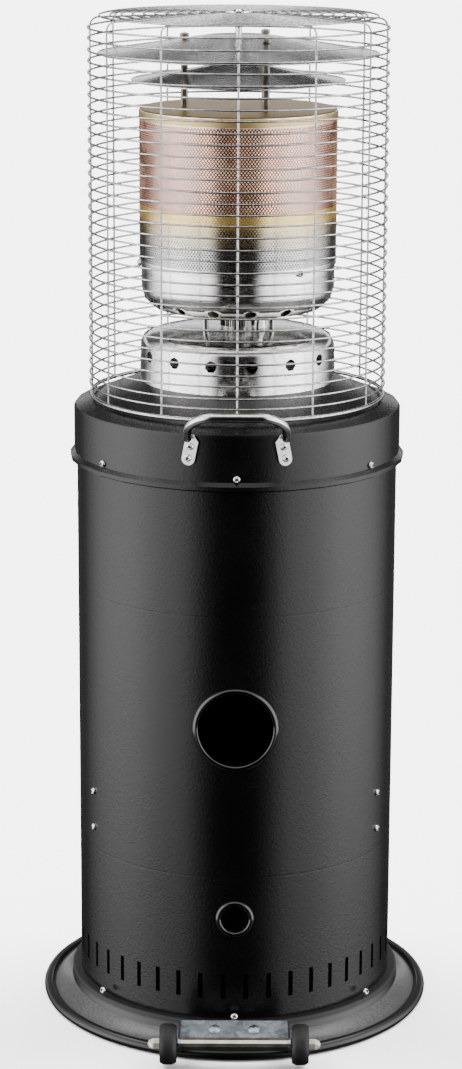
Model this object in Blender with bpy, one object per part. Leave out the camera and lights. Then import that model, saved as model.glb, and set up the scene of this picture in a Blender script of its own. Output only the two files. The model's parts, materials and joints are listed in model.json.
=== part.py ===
# A cylindrical gas patio heater: a round bottle housing on a pressed base, with a burner,
# two reflectors and a wire guard on top. Metres, +Z up, -Y is the side with the carry handle.
# Turns are counted about the housing's axis from -Y towards +X.

from math import acos, cos, pi, radians, sin, sqrt

import bmesh
import bpy
from mathutils import Vector

# Fits
gap = 0.0003
door_gap = 0.0015
turning_gap = 0.0004
cut_overrun = 0.004
merge_distance = 0.00001

# Base plate
base_reach = 0.049
base_sheet = 0.0018
rim_height = 0.013
rim_width = 0.011
rim_corner = 0.003
groove_depth = 0.004
groove_width = 0.004
collar_reach = 0.011
flange_rise = 0.021
collar_height = 0.0365
plateau_rise = 0.0155
pad_rise = 0.0015
pad_margin = 0.004

# Housing
body_radius = 0.2035
body_sheet = 0.0015
slot_count = 44
slot_rise = 0.0267
slot_length = 0.0333
slot_width = 0.006
large_port_height = 0.4192
large_port_bore = 0.093
large_port_ring = 0.108
small_port_height = 0.1709
small_port_bore = 0.034
small_port_ring = 0.0495
grommet_lip = 0.0035
grommet_wall = 0.0025
grommet_round = 0.001

# Cap
cap_sheet = 0.0015
cap_bottom = 0.721
cap_stand = 0.0035
skirt_height = 0.072
cap_shoulder_radius = 0.006
cone_rise = 0.0296
cap_bore = 0.060
bead_reach = 0.005
bead_height = 0.012
bead_crest = 0.005
bead_slope_height = 0.0075

# Burner
drum_radius = 0.1223
drum_height = 0.0591
drum_shoulder = 0.014
drum_plate_rise = 0.0063
drum_plate_radius = 0.070
drum_flare = 0.0012
burner_sheet = 0.0012
hole_count = 15
hole_width = 0.0155
hole_turn = radians(8.5)
drum_hole_rise = 0.0354
neck_radius = 0.021
neck_tube_radius = 0.018
neck_wall = 0.0025
neck_drop = 0.034
bowl_radius = 0.1213
bowl_stand = 0.0245
bowl_corner = 0.029
bowl_height = 0.0725
bowl_hole_slope = radians(48)
bowl_facet = radians(17)
head_radius = 0.046
head_rise = 0.030
head_cone = 0.008
head_thickness = 0.012
bowl_post_radius = 0.004
bowl_post_circle = 0.0476
bowl_post_turn = radians(3.5)
screen_sheet = 0.001
screen_rise = 0.0575
lid_rise = 0.2501
lid_skirt = 0.0121
lid_corner = 0.003

# Reflectors
post_count = 3
reflector_sheet = 0.0012
lower_reflector_radius = 0.1334
lower_reflector_stand = 0.0348
lower_reflector_flat = 0.035
lower_reflector_rise = 0.0166
upper_reflector_clear = 0.0114
upper_reflector_stand = 0.0328
upper_reflector_flat = 0.043
upper_reflector_rise = 0.0207
reflector_post_circle = 0.067
post_core_radius = 0.0028
post_sleeve_radius = 0.0045
post_stub = 0.006
post_nut_radius = 0.0058
post_nut_height = 0.005
post_end = 0.002

# Guard
guard_inset = 0.021
guard_wire = 0.0026
guard_base_wire = 0.005
guard_pitch = 0.0139
guard_headroom = 0.028
guard_corner = 0.014
guard_crown = 0.0035
guard_open_radius = 0.0345
guard_top_pitch = 0.0138
coarse_ring_radius = 0.125
upright_count = 12
hub_radius = 0.011
hub_thickness = 0.0025
stud_radius = 0.0043
stud_core_radius = 0.0026
stud_stub = 0.004
cap_nut_radius = 0.0065
cap_nut_height = 0.0065
cap_nut_wall = 0.0025

# Carry handle
handle_bar = 0.0105
handle_half_width = 0.0602
handle_reach = 0.040
handle_grip_rise = 0.029
handle_corner = 0.016
handle_neck_height = 0.011
handle_neck_reach = 0.009
foot_drop = 0.0391
foot_length = 0.031
foot_width = 0.017
foot_thickness = 0.0035
foot_half_spacing = 0.0575

# Wheels
wheel_radius = 0.0255
wheel_width = 0.021
wheel_crown = 0.0025
wheel_recess = 0.004
wheel_hub_radius = 0.0095
wheel_tyre = 0.007
wheel_floor_gap = 0.0045
wheel_rim_gap = 0.0054
wheel_half_track = 0.0822
axle_radius = 0.004
axle_half_length = 0.104
spacer_radius = 0.0082
axle_nut_radius = 0.0075
axle_nut_wall = 0.004
bracket_half_width = 0.0700
bracket_sheet = 0.003
bracket_clear = 0.003
bracket_stand = 0.004
bracket_leaf_drop = 0.014
bracket_axle_stand = 0.022
cheek_radius = 0.0095
bolt_half_spacing = 0.0247
bolt_radius = 0.003
bolt_length = 0.026
bolt_head_radius = 0.008
bolt_head_height = 0.0045

# Door
door_half_angle = radians(50)
door_sill = 0.0215
control_band = 0.123
hinge_barrel_radius = 0.004
hinge_pin_radius = 0.0018
hinge_leaf = 0.0015
hinge_leaf_width = 0.020
hinge_knuckle = 0.018
hinge_inset = 0.050
barrel_stand_share = 0.8
pull_radius = 0.012
pull_stem_radius = 0.006
pull_length = 0.022
pull_head = 0.008
pull_inset = 0.021
catch_height = 0.050
catch_depth = 0.012
catch_half_width = 0.011

# Controls
panel_half_width = 0.068
panel_margin = 0.0245
panel_stand = 0.012
panel_corner = 0.010
panel_chamfer = 0.002
panel_depth = 0.030
knob_radius = 0.026
knob_length = 0.022
knob_base = 0.005
knob_grip_radius = 0.021
knob_flute = 0.0018
knob_flutes = 10
knob_taper = 0.002
knob_socket = 0.014
knob_offset = 0.022
spindle_radius = 0.004
spindle_depth = 0.014
spindle_travel = 0.004
button_radius = 0.008
button_collar_radius = 0.012
button_collar_height = 0.003
button_travel = 0.005
button_depth = 0.010
button_offset = 0.042
button_stand = 0.009
button_round = 0.002
igniter_radius = 0.010
igniter_length = 0.040

# Gas train
valve_half_width = 0.017
valve_depth = 0.030
valve_height = 0.040
valve_boss_radius = 0.011
pipe_radius = 0.004
pipe_bend = 0.022
pipe_rise = 0.055
pipe_centre_rise = 0.007
nipple_radius = 0.005
nipple_length = 0.028
nipple_barb = 0.0015
nipple_bore = 0.0022
nipple_collar_share = 0.25
nipple_barb_share = 0.66
pilot_radius = 0.0032
pilot_foot_radius = 0.0063
pilot_circle = 0.032
pilot_turn = radians(68)
electrode_radius = 0.0018
electrode_foot_radius = 0.0038
electrode_foot_height = 0.012
electrode_turn = radians(25)
electrode_reach = 0.0245
tilt_switch_turn = radians(156)
tilt_switch_half_width = 0.014
tilt_switch_depth = 0.020
tilt_switch_height = 0.030
tilt_switch_drop = 0.031

# Bottle space
bottle_ring_inset = 0.0435
bottle_ring_height = 0.012
bottle_ring_sheet = 0.003
stay_middle = 0.277
stay_height = 0.074
stay_sheet = 0.002
stay_inset = 0.0375
stay_turn = radians(63)
stay_foot_width = 0.034

# Facets
body_facets = slot_count
base_facets = 36
cap_facets = 30
ring_facets = 24
shoulder_steps = 2
burner_facets = 2 * hole_count
reflector_facets = 30
guard_facets = 3 * upright_count // 2
coarse_facets = upright_count
wheel_facets = 16
port_facets = 24
neck_facets = 16
small_facets = 12
nut_facets = 6
tube_sides = 8
hole_sides = 7
wire_sides = 4
door_steps = 12
corner_steps = 3
smooth_angle = radians(32)
triangle_area = 3 * sqrt(3) / 4

black_gloss = ((0.012, 0.012, 0.013), 0.16, 0.0)
black_textured = ((0.022, 0.022, 0.023), 0.42, 0.0)
steel = ((0.62, 0.61, 0.59), 0.22, 1.0)
brass = ((0.66, 0.50, 0.24), 0.3, 1.0)
zinc = ((0.48, 0.51, 0.54), 0.38, 1.0)
black_rubber = ((0.02, 0.02, 0.02), 0.7, 0.0)
black_plastic = ((0.03, 0.03, 0.03), 0.45, 0.0)
cutter_red = ((0.8, 0.2, 0.2), 0.5, 0.0)


def surface(name, look):
    """A plain material: base colour, roughness and metallic value."""
    colour, roughness, metallic = look
    material = bpy.data.materials.new(name)
    material.use_nodes = True
    shader = material.node_tree.nodes["Principled BSDF"]
    shader.inputs["Base Color"].default_value = (*colour, 1)
    shader.inputs["Roughness"].default_value = roughness
    shader.inputs["Metallic"].default_value = metallic
    material.diffuse_color = (*colour, 1)
    return material


def finish(name, maker, look, place=(0, 0, 0), turn=(0, 0, 0)):
    """Turns the built mesh into a named object with its own material."""
    bmesh.ops.recalc_face_normals(maker, faces=maker.faces)
    mesh = bpy.data.meshes.new(name)
    maker.to_mesh(mesh)
    maker.free()
    mesh.shade_smooth()
    mesh.set_sharp_from_angle(angle=smooth_angle)
    mesh.materials.append(surface(name, look))
    item = bpy.data.objects.new(name, mesh)
    item.location = place
    item.rotation_euler = turn
    item.parent = heater
    bpy.context.scene.collection.objects.link(item)
    return item


def combine(target, operation, name, maker, place=(0, 0, 0), turn=(0, 0, 0)):
    """Cuts a hidden solid out of the target, or joins it on."""
    item = finish(name, maker, cutter_red, place, turn)
    item.hide_render = True
    item.display_type = "WIRE"
    change = target.modifiers.new(name, "BOOLEAN")
    change.object = item
    change.operation = operation
    change.solver = "EXACT"


def arc(middle, radius, start, end, steps):
    """Points of a circular arc about middle, angles from the first axis."""
    turns = [start + (end - start) * step / steps for step in range(steps + 1)]
    return [(middle[0] + radius * cos(turn), middle[1] + radius * sin(turn)) for turn in turns]


def offset(path, distance):
    """The path moved sideways to its left, with mitred corners."""
    points = [Vector(point) for point in path]
    normals = []
    for first, second in zip(points, points[1:]):
        along = (second - first).normalized()
        normals.append(Vector((-along.y, along.x)))
    moved = []
    for index, point in enumerate(points):
        before = normals[max(index - 1, 0)]
        after = normals[min(index, len(normals) - 1)]
        mitre = (before + after).normalized()
        moved.append(tuple(point + mitre * distance / mitre.dot(before)))
    return moved


def sheet(path, thickness):
    """The closed outline of a sheet whose outer side follows the path."""
    return list(path) + offset(path, thickness)[::-1]


def fillet(path, radius):
    """The path with each inner corner replaced by an arc of chords."""
    points = [Vector(point) for point in path]
    rounded = [points[0]]
    for before, corner, after in zip(points, points[1:], points[2:]):
        inward = (before - corner).normalized()
        outward = (after - corner).normalized()
        half = inward.angle(outward) / 2
        middle = corner + (inward + outward).normalized() * radius / sin(half)
        first = corner + inward * radius / sin(half) * cos(half) - middle
        last = corner + outward * radius / sin(half) * cos(half) - middle
        bend = first.angle(last)
        for step in range(corner_steps + 1):
            turn = bend * step / corner_steps
            rounded.append(middle + (first * sin(bend - turn) + last * sin(turn)) / sin(bend))
    return rounded + [points[-1]]


def turned(outline, facets):
    """A solid of revolution about Z from a closed outline of (radius, height) points."""
    maker = bmesh.new()
    points = [maker.verts.new((radius, 0, height)) for radius, height in outline]
    edges = []
    for first, second in zip(points, points[1:] + points[:1]):
        if max(first.co.x, second.co.x) > merge_distance:
            edges.append(maker.edges.new((first, second)))
    bmesh.ops.spin(
        maker, geom=points + edges, cent=(0, 0, 0), axis=(0, 0, 1),
        angle=2 * pi, steps=facets, use_merge=True,
    )
    bmesh.ops.remove_doubles(maker, verts=maker.verts, dist=merge_distance)
    return maker


def clear(radius, facets):
    """The corner radius of a faceted bore whose flats still clear the radius."""
    return radius / cos(pi / facets)


def skin(maker, sections):
    """Adds walls between sections of equal point counts, with a cap at each end."""
    rows = [[maker.verts.new(point) for point in section] for section in sections]
    for first, second in zip(rows, rows[1:]):
        for index, point in enumerate(first):
            after = (index + 1) % len(first)
            maker.faces.new((point, first[after], second[after], second[index]))
    maker.faces.new(rows[0][::-1])
    maker.faces.new(rows[-1])


def prism(maker, outline, start, end, place):
    """Adds a solid between two levels; place turns (first, second, level) into a point."""
    skin(maker, [[place(first, second, level) for first, second in outline] for level in (start, end)])


def circle(middle, radius, sides, first_axis, second_axis):
    """Points of a circle spanned by two directions."""
    points = []
    for step in range(sides):
        turn = 2 * pi * (step + 0.5) / sides
        points.append(middle + first_axis * radius * cos(turn) + second_axis * radius * sin(turn))
    return points


def tube(maker, path, radius, sides, side_axis):
    """Adds a round bar along a path that lies square to the side axis."""
    points = [Vector(point) for point in path]
    sections = []
    for index, point in enumerate(points):
        before = (point - points[max(index - 1, 0)]).normalized()
        after = (points[min(index + 1, len(points) - 1)] - point).normalized()
        along = (before + after).normalized()
        stretch = 1 / max(along.dot(before), along.dot(after))
        sections.append(circle(point, radius, sides, side_axis, along.cross(side_axis) * stretch))
    skin(maker, sections)


def rod(maker, start, end, radius, sides):
    """Adds a straight round bar between two points."""
    along = (Vector(end) - Vector(start)).normalized()
    first_axis = along.orthogonal().normalized()
    second_axis = along.cross(first_axis)
    skin(maker, [circle(Vector(point), radius, sides, first_axis, second_axis) for point in (start, end)])


def spot(radius, turn, height):
    """A point at a turn from -Y, counted towards +X."""
    return Vector((radius * sin(turn), -radius * cos(turn), height))


def sector(maker, inner, outer, start, end, bottom, top, steps):
    """Adds a curved block about Z, between two turns from -Y."""
    outline = [(inner, bottom), (outer, bottom), (outer, top), (inner, top)]
    turns = [start + (end - start) * step / steps for step in range(steps + 1)]
    skin(maker, [[spot(radius, turn, height) for radius, height in outline] for turn in turns])


def rounded_box(half_width, height, corner):
    """Outline of a box with rounded corners, about its middle."""
    outline = []
    for quarter, (across, up) in enumerate([(1, 1), (-1, 1), (-1, -1), (1, -1)]):
        middle = (across * (half_width - corner), up * (height / 2 - corner))
        outline += arc(middle, corner, quarter * pi / 2, (quarter + 1) * pi / 2, corner_steps)
    return outline


def ring_holes(radius, height, slope):
    """Round cutters about Z, each square to a wall that faces down by the slope."""
    maker = bmesh.new()
    for index in range(hole_count):
        turn = 2 * pi * index / hole_count
        outward = spot(cos(slope), turn, -sin(slope))
        middle = spot(radius, turn, height)
        reach = outward * (burner_sheet + cut_overrun)
        rod(maker, middle - reach, middle + reach, hole_width / 2, hole_sides)
    return maker


def round_holes(places, radius, bottom, top, sides):
    """Upright round cutters at the given points."""
    maker = bmesh.new()
    for place in places:
        middle = Vector((place.x, place.y, bottom))
        rod(maker, middle, middle + Vector((0, 0, top - bottom)), radius, sides)
    return maker


def acorn(radius, length, bore_radius, bore_depth):
    """A six-sided cap nut with a domed end and a blind bore."""
    bore = clear(bore_radius, nut_facets)
    outline = [(bore, 0), (radius, 0), (radius, length / 2)]
    outline += [(radius * cos(pi / 4), length * sin(pi / 3)), (0, length)]
    outline += [(0, bore_depth), (bore, bore_depth)]
    return turned(outline, nut_facets)


for leftover in list(bpy.data.objects):
    bpy.data.objects.remove(leftover, do_unlink=True)

# Radii from the housing's, and heights stacked from the floor up
base_radius = body_radius + base_reach
collar_radius = body_radius + collar_reach
cap_skirt_radius = body_radius + cap_stand
bead_radius = cap_skirt_radius + bead_reach
guard_radius = cap_skirt_radius - guard_inset
upper_reflector_radius = guard_radius - upper_reflector_clear
bottle_ring_radius = body_radius - bottle_ring_inset
stay_radius = body_radius - stay_inset
plateau_height = collar_height + plateau_rise
slot_bottom = collar_height + slot_rise
door_bottom = slot_bottom + slot_length + door_sill
door_top = cap_bottom - control_band
panel_middle = (door_top + cap_bottom) / 2
panel_height = control_band - 2 * panel_margin
cap_shoulder_height = cap_bottom + skirt_height
cap_top_height = cap_shoulder_height + cone_rise
drum_top = cap_top_height + drum_height
plate_height = drum_top + drum_plate_rise
bowl_bottom = plate_height + bowl_stand
lid_top = bowl_bottom + lid_rise
lower_reflector_edge = lid_top + lower_reflector_stand
upper_reflector_edge = lower_reflector_edge + upper_reflector_stand
apex = upper_reflector_edge + upper_reflector_rise
guard_top = apex + guard_headroom
foot_bottom = cap_shoulder_height - foot_drop

# The model's origin is the middle of its footprint; the housing's axis lies behind it.
wheel_height = wheel_floor_gap + wheel_radius
rim_reach = sqrt(base_radius**2 - (wheel_half_track - wheel_width / 2) ** 2)
wheel_reach = rim_reach + wheel_rim_gap + sqrt(wheel_radius**2 - (wheel_height - rim_height) ** 2)
centre_offset = (wheel_reach + wheel_radius - base_radius) / 2

heater = bpy.data.objects.new("heater", None)
heater.location = (0, centre_offset, 0)
bpy.context.scene.collection.objects.link(heater)

across = Vector((1, 0, 0))
upward = Vector((0, 0, 1))
body_flat = (body_radius - body_sheet) * cos(pi / body_facets) - gap
body_face = body_radius + gap

# Base plate: a rolled rim, a groove, a sloping flange, and a collar with the plateau inside it
rim_inner = base_radius - rim_width
groove_height = rim_height - groove_depth
flange_outer = rim_inner - groove_width
spigot_radius = body_radius - body_sheet - 2 * gap
pad_radius = bottle_ring_radius - bottle_ring_sheet - pad_margin
rim_path = [
    (rim_inner, 0), (base_radius - rim_corner, 0), (base_radius, rim_height / 2),
    (base_radius - rim_corner, rim_height), (rim_inner, rim_height),
]
pan_path = [
    (rim_inner, groove_height), (flange_outer, groove_height), (collar_radius, flange_rise),
    (collar_radius, collar_height), (spigot_radius, collar_height), (spigot_radius, plateau_height),
    (pad_radius, plateau_height), (pad_radius, plateau_height + pad_rise), (0, plateau_height + pad_rise),
]
pan_underside = [
    (0, plateau_height - base_sheet), (spigot_radius - base_sheet, plateau_height - base_sheet),
    (spigot_radius - base_sheet, collar_height - base_sheet),
    (collar_radius - base_sheet, collar_height - base_sheet),
    (collar_radius - base_sheet, flange_rise - base_sheet),
    (rim_inner, groove_height - base_sheet),
]
base_plate = finish("base_plate", turned(rim_path + pan_path + pan_underside, base_facets), black_gloss)

# Housing: a rolled sheet with vent slots round its foot, two ports and a door opening
body_bottom = collar_height + gap
chord_reach = cap_shoulder_radius * cos(pi / 4 / shoulder_steps) - cap_sheet
body_overhang = clear(body_radius, cap_facets) - (cap_skirt_radius - cap_shoulder_radius)
chord_turns = [pi / 2 * (step + 0.5) / shoulder_steps for step in range(shoulder_steps)]
seat_rise = min((chord_reach - body_overhang * cos(turn)) / sin(turn) for turn in chord_turns)
body_top = cap_shoulder_height - cap_shoulder_radius + seat_rise - gap
shell_outline = [
    (body_radius - body_sheet, body_bottom), (body_radius, body_bottom),
    (body_radius, body_top), (body_radius - body_sheet, body_top),
]
body_shell = finish("body_shell", turned(shell_outline, body_facets), black_textured)
shell_inside = body_radius - body_sheet - cut_overrun
shell_outside = body_radius + cut_overrun

slots = bmesh.new()
slot_half_angle = slot_width / 2 / body_radius
for index in range(slot_count):
    middle = 2 * pi * (index + 0.5) / slot_count
    sector(
        slots, shell_inside, shell_outside, middle - slot_half_angle, middle + slot_half_angle,
        slot_bottom, slot_bottom + slot_length, 1,
    )
combine(body_shell, "DIFFERENCE", "vent_slots", slots)

opening = bmesh.new()
sector(
    opening, shell_inside, shell_outside, pi - door_half_angle, pi + door_half_angle,
    door_bottom, door_top, door_steps,
)
combine(body_shell, "DIFFERENCE", "door_opening", opening)


def bore_along_y(maker, offset_x, height, radius, start, end, sides):
    """Adds a round bar along Y, with its corners where a port's sections have theirs."""
    middles = [Vector((offset_x, start, height)), Vector((offset_x, end, height))]
    skin(maker, [circle(middle, radius, sides, across, upward) for middle in middles])


def grommet(name, height, bore, ring, facets):
    """An edge ring that follows the housing's curve round a port, and the port it sits in."""
    neck = bore / 2 + grommet_wall
    face = body_radius + gap
    lip_top = body_radius + grommet_lip
    outline = [
        (bore / 2, body_flat - grommet_wall), (bore / 2, lip_top), (ring / 2 - grommet_round, lip_top),
        (ring / 2, face), (neck, face), (neck, body_flat),
        (ring / 2, body_flat), (ring / 2, body_flat - grommet_wall),
    ]
    maker = bmesh.new()
    rows = []
    for step in range(facets):
        turn = 2 * pi * (step + 0.5) / facets
        row = []
        for radius, level in outline:
            sideways = radius * cos(turn)
            outward = -sqrt(level**2 - sideways**2)
            row.append(maker.verts.new((sideways, outward, height + radius * sin(turn))))
        rows.append(row)
    for first, second in zip(rows, rows[1:] + rows[:1]):
        for index, point in enumerate(first):
            after = (index + 1) % len(first)
            maker.faces.new((point, first[after], second[after], second[index]))
    finish(name, maker, black_gloss)
    port = bmesh.new()
    bore_along_y(port, 0, height, neck + gap, -shell_outside, -(shell_inside - ring / 2), facets)
    combine(body_shell, "DIFFERENCE", name + "_port", port)


grommet("port_grommet_large", large_port_height, large_port_bore, large_port_ring, port_facets)
grommet("port_grommet_small", small_port_height, small_port_bore, small_port_ring, neck_facets)

# Cap: a skirt with a bead at its lower edge, a rounded shoulder and a conical top
drum_bottom = cap_top_height + gap
seat_radius = drum_radius + 2 * drum_flare
shoulder_middle = (cap_skirt_radius - cap_shoulder_radius, cap_shoulder_height - cap_shoulder_radius)
cone_path = arc(shoulder_middle, cap_shoulder_radius, 0, pi / 2, shoulder_steps)
cone_path += [(seat_radius, cap_top_height), (cap_bore, cap_top_height)]
bead_path = [
    (cap_skirt_radius, cap_bottom), (bead_radius, cap_bottom + bead_crest / 2),
    (bead_radius, cap_bottom + bead_slope_height), (cap_skirt_radius, cap_bottom + bead_height),
]
cap_foot = (cap_skirt_radius - cap_sheet, cap_bottom)
cap_outline = bead_path + sheet(cone_path, cap_sheet) + [cap_foot]
finish("cap", turned(cap_outline, cap_facets), black_textured)


def cone_height(radius):
    """Height of the cap's conical top at a radius."""
    start = shoulder_middle[0]
    return cap_shoulder_height + cone_rise * (start - radius) / (start - seat_radius)


# Carry handle: a round bar bent twice, with its ends pressed flat on the cap's skirt
arm_start = Vector((handle_half_width, -(cap_skirt_radius + handle_neck_reach), 0))
arm_start.z = foot_bottom + foot_length + handle_neck_height
grip_height = cap_shoulder_height + handle_grip_rise
grip_corner = Vector((handle_half_width, -(cap_skirt_radius + handle_reach), grip_height))
arm_along = (grip_corner - arm_start).normalized()
arm_outward = across.cross(arm_along)
foot_turn = foot_half_spacing / cap_skirt_radius
foot_reach = cap_skirt_radius + gap + foot_thickness / 2


def handle_half(side):
    """Sections of one half from foot to grip: (middle, sideways, outward, width, thickness)."""
    mirror = Vector((side, 1, 1))
    outward = spot(1, side * foot_turn, 0)
    sideways = upward.cross(outward) * side
    foot_start = spot(foot_reach, side * foot_turn, foot_bottom)
    foot_end = foot_start + upward * foot_length
    sections = [(foot_start, sideways, outward, foot_width, foot_thickness)]
    sections.append((foot_end, sideways, outward, foot_width, foot_thickness))
    sections.append((arm_start * mirror, across * side, arm_outward, handle_bar, handle_bar))
    bend_middle = grip_corner - (arm_along + across) * handle_corner
    for step in range(corner_steps + 1):
        turn = pi / 2 * step / corner_steps
        sideways = across * cos(turn) + arm_along * sin(turn)
        middle = bend_middle + sideways * handle_corner
        sections.append((middle * mirror, sideways * mirror, arm_outward, handle_bar, handle_bar))
    return sections


def bar_section(middle, sideways, outward, width, thickness):
    """An oval section of the bar."""
    return circle(middle, 1, tube_sides, sideways * width / 2, outward * thickness / 2)


handle_sections = handle_half(-1) + handle_half(1)[::-1]
handle = bmesh.new()
skin(handle, [bar_section(*section) for section in handle_sections])
finish("carry_handle", handle, steel)

# Burner: a drum with a ring of holes, a neck and posts, a bowl, and a screen with its lid
drum_path = [
    (drum_radius + drum_flare, drum_bottom),
    *arc((drum_radius - drum_shoulder, drum_top - drum_shoulder), drum_shoulder, 0, pi / 2, shoulder_steps),
    (drum_plate_radius, plate_height), (clear(neck_tube_radius, burner_facets) + gap, plate_height),
]
hole_start = (0, 0, hole_turn)
drum_solid = turned(sheet(drum_path, burner_sheet), burner_facets)
burner_drum = finish("burner_drum", drum_solid, steel, turn=hole_start)
drum_holes = ring_holes(drum_radius, cap_top_height + drum_hole_rise, 0)
combine(burner_drum, "DIFFERENCE", "drum_holes", drum_holes, turn=hole_start)

head_bottom = bowl_bottom + head_rise
neck_bore = neck_tube_radius - neck_wall
neck_bottom = plate_height - neck_drop
neck_outline = [
    (neck_bore, neck_bottom), (neck_tube_radius, neck_bottom), (neck_tube_radius, plate_height + gap),
    (neck_radius, plate_height + gap), (neck_radius, bowl_bottom - gap),
    (neck_tube_radius, bowl_bottom - gap),
    (neck_tube_radius, head_bottom), (head_radius, head_bottom + head_cone),
    (head_radius, head_bottom + head_thickness), (0, head_bottom + head_thickness),
    (0, head_bottom + head_cone), (neck_bore, head_bottom + head_cone),
]
finish("burner_neck", turned(neck_outline, neck_facets), steel)

for index in range(post_count):
    middle = spot(bowl_post_circle, bowl_post_turn + pi + 2 * pi * index / post_count, 0)
    post = bmesh.new()
    post_bottom = middle + upward * (plate_height + gap)
    rod(post, post_bottom, middle + upward * (bowl_bottom - gap), bowl_post_radius, tube_sides)
    finish(f"bowl_post_{index + 1}", post, steel)

corner_middle = (bowl_radius - bowl_corner, bowl_bottom + bowl_corner)
bowl_path = [
    (clear(neck_tube_radius, burner_facets) + gap, bowl_bottom),
    (corner_middle[0], bowl_bottom),
    *arc(corner_middle, bowl_corner, -bowl_hole_slope - bowl_facet, -bowl_hole_slope + bowl_facet, 1),
    (bowl_radius, corner_middle[1]), (bowl_radius, bowl_bottom + bowl_height),
]
bowl_solid = turned(sheet(bowl_path, burner_sheet), burner_facets)
burner_bowl = finish("burner_bowl", bowl_solid, steel, turn=hole_start)
hole_reach = bowl_corner * cos(bowl_facet)
bowl_hole_radius = corner_middle[0] + hole_reach * cos(bowl_hole_slope)
bowl_hole_height = corner_middle[1] - hole_reach * sin(bowl_hole_slope)
bowl_holes = ring_holes(bowl_hole_radius, bowl_hole_height, bowl_hole_slope)
combine(burner_bowl, "DIFFERENCE", "bowl_holes", bowl_holes, turn=hole_start)

electrode_place = spot(pilot_circle, electrode_turn, plate_height + gap)
electrode_bore = round_holes(
    [electrode_place], electrode_radius + 2 * gap, bowl_bottom - cut_overrun, bowl_bottom + cut_overrun,
    tube_sides,
)
combine(burner_bowl, "DIFFERENCE", "electrode_bore", electrode_bore)
electrode_length = bowl_stand + electrode_reach
electrode_outline = [
    (0, 0), (electrode_foot_radius, 0), (electrode_foot_radius, electrode_foot_height),
    (electrode_radius, electrode_foot_height), (electrode_radius, electrode_length), (0, electrode_length),
]
finish("electrode", turned(electrode_outline, tube_sides), steel, electrode_place)
pilot_height = bowl_bottom - plate_height - 2 * gap
pilot_outline = [(0, 0), (pilot_foot_radius, 0), (pilot_radius, pilot_height), (0, pilot_height)]
pilot_place = spot(pilot_circle, pilot_turn, plate_height + gap)
finish("pilot_burner", turned(pilot_outline, small_facets), steel, pilot_place)

screen_inner = bowl_radius + gap
screen_bottom = bowl_bottom + screen_rise
lid_inner = screen_inner + screen_sheet + gap
lid_outer = lid_inner + burner_sheet
screen_outline = [
    (screen_inner, screen_bottom), (screen_inner + screen_sheet, screen_bottom),
    (screen_inner + screen_sheet, lid_top - burner_sheet - gap), (screen_inner, lid_top - burner_sheet - gap),
]
finish("burner_screen", turned(screen_outline, burner_facets), steel, turn=hole_start)
lid_outline = [
    (lid_inner, lid_top - lid_skirt), (lid_outer, lid_top - lid_skirt), (lid_outer, lid_top - lid_corner),
    (lid_outer - lid_corner, lid_top), (0, lid_top), (0, lid_top - burner_sheet),
    (lid_inner, lid_top - burner_sheet),
]
screen_lid = finish("screen_lid", turned(lid_outline, burner_facets), steel, turn=hole_start)

# Reflectors: two shallow cones on three posts with sleeves and nuts
post_turns = [2 * pi * index / post_count - pi / 2 for index in range(post_count)]
reflector_posts = [spot(reflector_post_circle, turn, 0) for turn in post_turns]
post_bore = clear(post_core_radius, nut_facets) + gap
lid_holes = round_holes(
    reflector_posts, post_bore, lid_top - burner_sheet - cut_overrun, lid_top + cut_overrun, nut_facets,
)
combine(screen_lid, "DIFFERENCE", "lid_holes", lid_holes)


def reflector(name, radius, edge, flat, rise):
    """A shallow cone open below, bored for its posts."""
    path = [(radius, edge), (flat, edge + rise), (0, edge + rise)]
    dish = finish(name, turned(sheet(path, reflector_sheet), reflector_facets), steel)
    low = edge - cut_overrun
    high = edge + rise + cut_overrun
    post_holes = round_holes(reflector_posts, post_bore, low, high, nut_facets)
    combine(dish, "DIFFERENCE", name + "_holes", post_holes)
    return dish


def cone_top(radius, edge, flat, rise):
    """Height of a reflector's upper side on the post circle."""
    return edge + rise * (radius - reflector_post_circle) / (radius - flat)


lower_sizes = (lower_reflector_radius, lower_reflector_edge, lower_reflector_flat, lower_reflector_rise)
upper_sizes = (upper_reflector_radius, upper_reflector_edge, upper_reflector_flat, upper_reflector_rise)
reflector("reflector_lower", *lower_sizes)
reflector_upper = reflector("reflector_upper", *upper_sizes)
stud_bore = clear(stud_core_radius, tube_sides) + gap
apex_bore = round_holes([upward], stud_bore, apex - cut_overrun, apex + cut_overrun, tube_sides)
combine(reflector_upper, "DIFFERENCE", "apex_bore", apex_bore)


def seat(sizes, reach, above):
    """Height that a flat-ended piece of a given reach takes on or under a cone."""
    radius, edge, flat, rise = sizes
    slope = rise / (radius - flat)
    if above:
        return cone_top(*sizes) + reach * slope + gap
    return cone_top(*sizes) - reflector_sheet * sqrt(1 + slope**2) - reach * slope - gap


post_outline = [
    (0, lid_top - post_stub), (post_core_radius, lid_top - post_stub), (post_core_radius, lid_top + gap),
    (post_sleeve_radius, lid_top + gap), (post_sleeve_radius, seat(lower_sizes, post_sleeve_radius, False)),
    (post_core_radius, seat(lower_sizes, post_sleeve_radius, False)),
    (post_core_radius, seat(lower_sizes, post_sleeve_radius, True)),
    (post_sleeve_radius, seat(lower_sizes, post_sleeve_radius, True)),
    (post_sleeve_radius, seat(upper_sizes, post_sleeve_radius, False)),
    (post_core_radius, seat(upper_sizes, post_sleeve_radius, False)),
    (post_core_radius, seat(upper_sizes, post_nut_radius, True)),
    (post_nut_radius, seat(upper_sizes, post_nut_radius, True)),
    (post_nut_radius, seat(upper_sizes, post_nut_radius, True) + post_nut_height),
    (0, seat(upper_sizes, post_nut_radius, True) + post_nut_height + post_end),
]
for index, place in enumerate(reflector_posts):
    finish(f"reflector_post_{index + 1}", turned(post_outline, nut_facets), steel, place)

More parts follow.
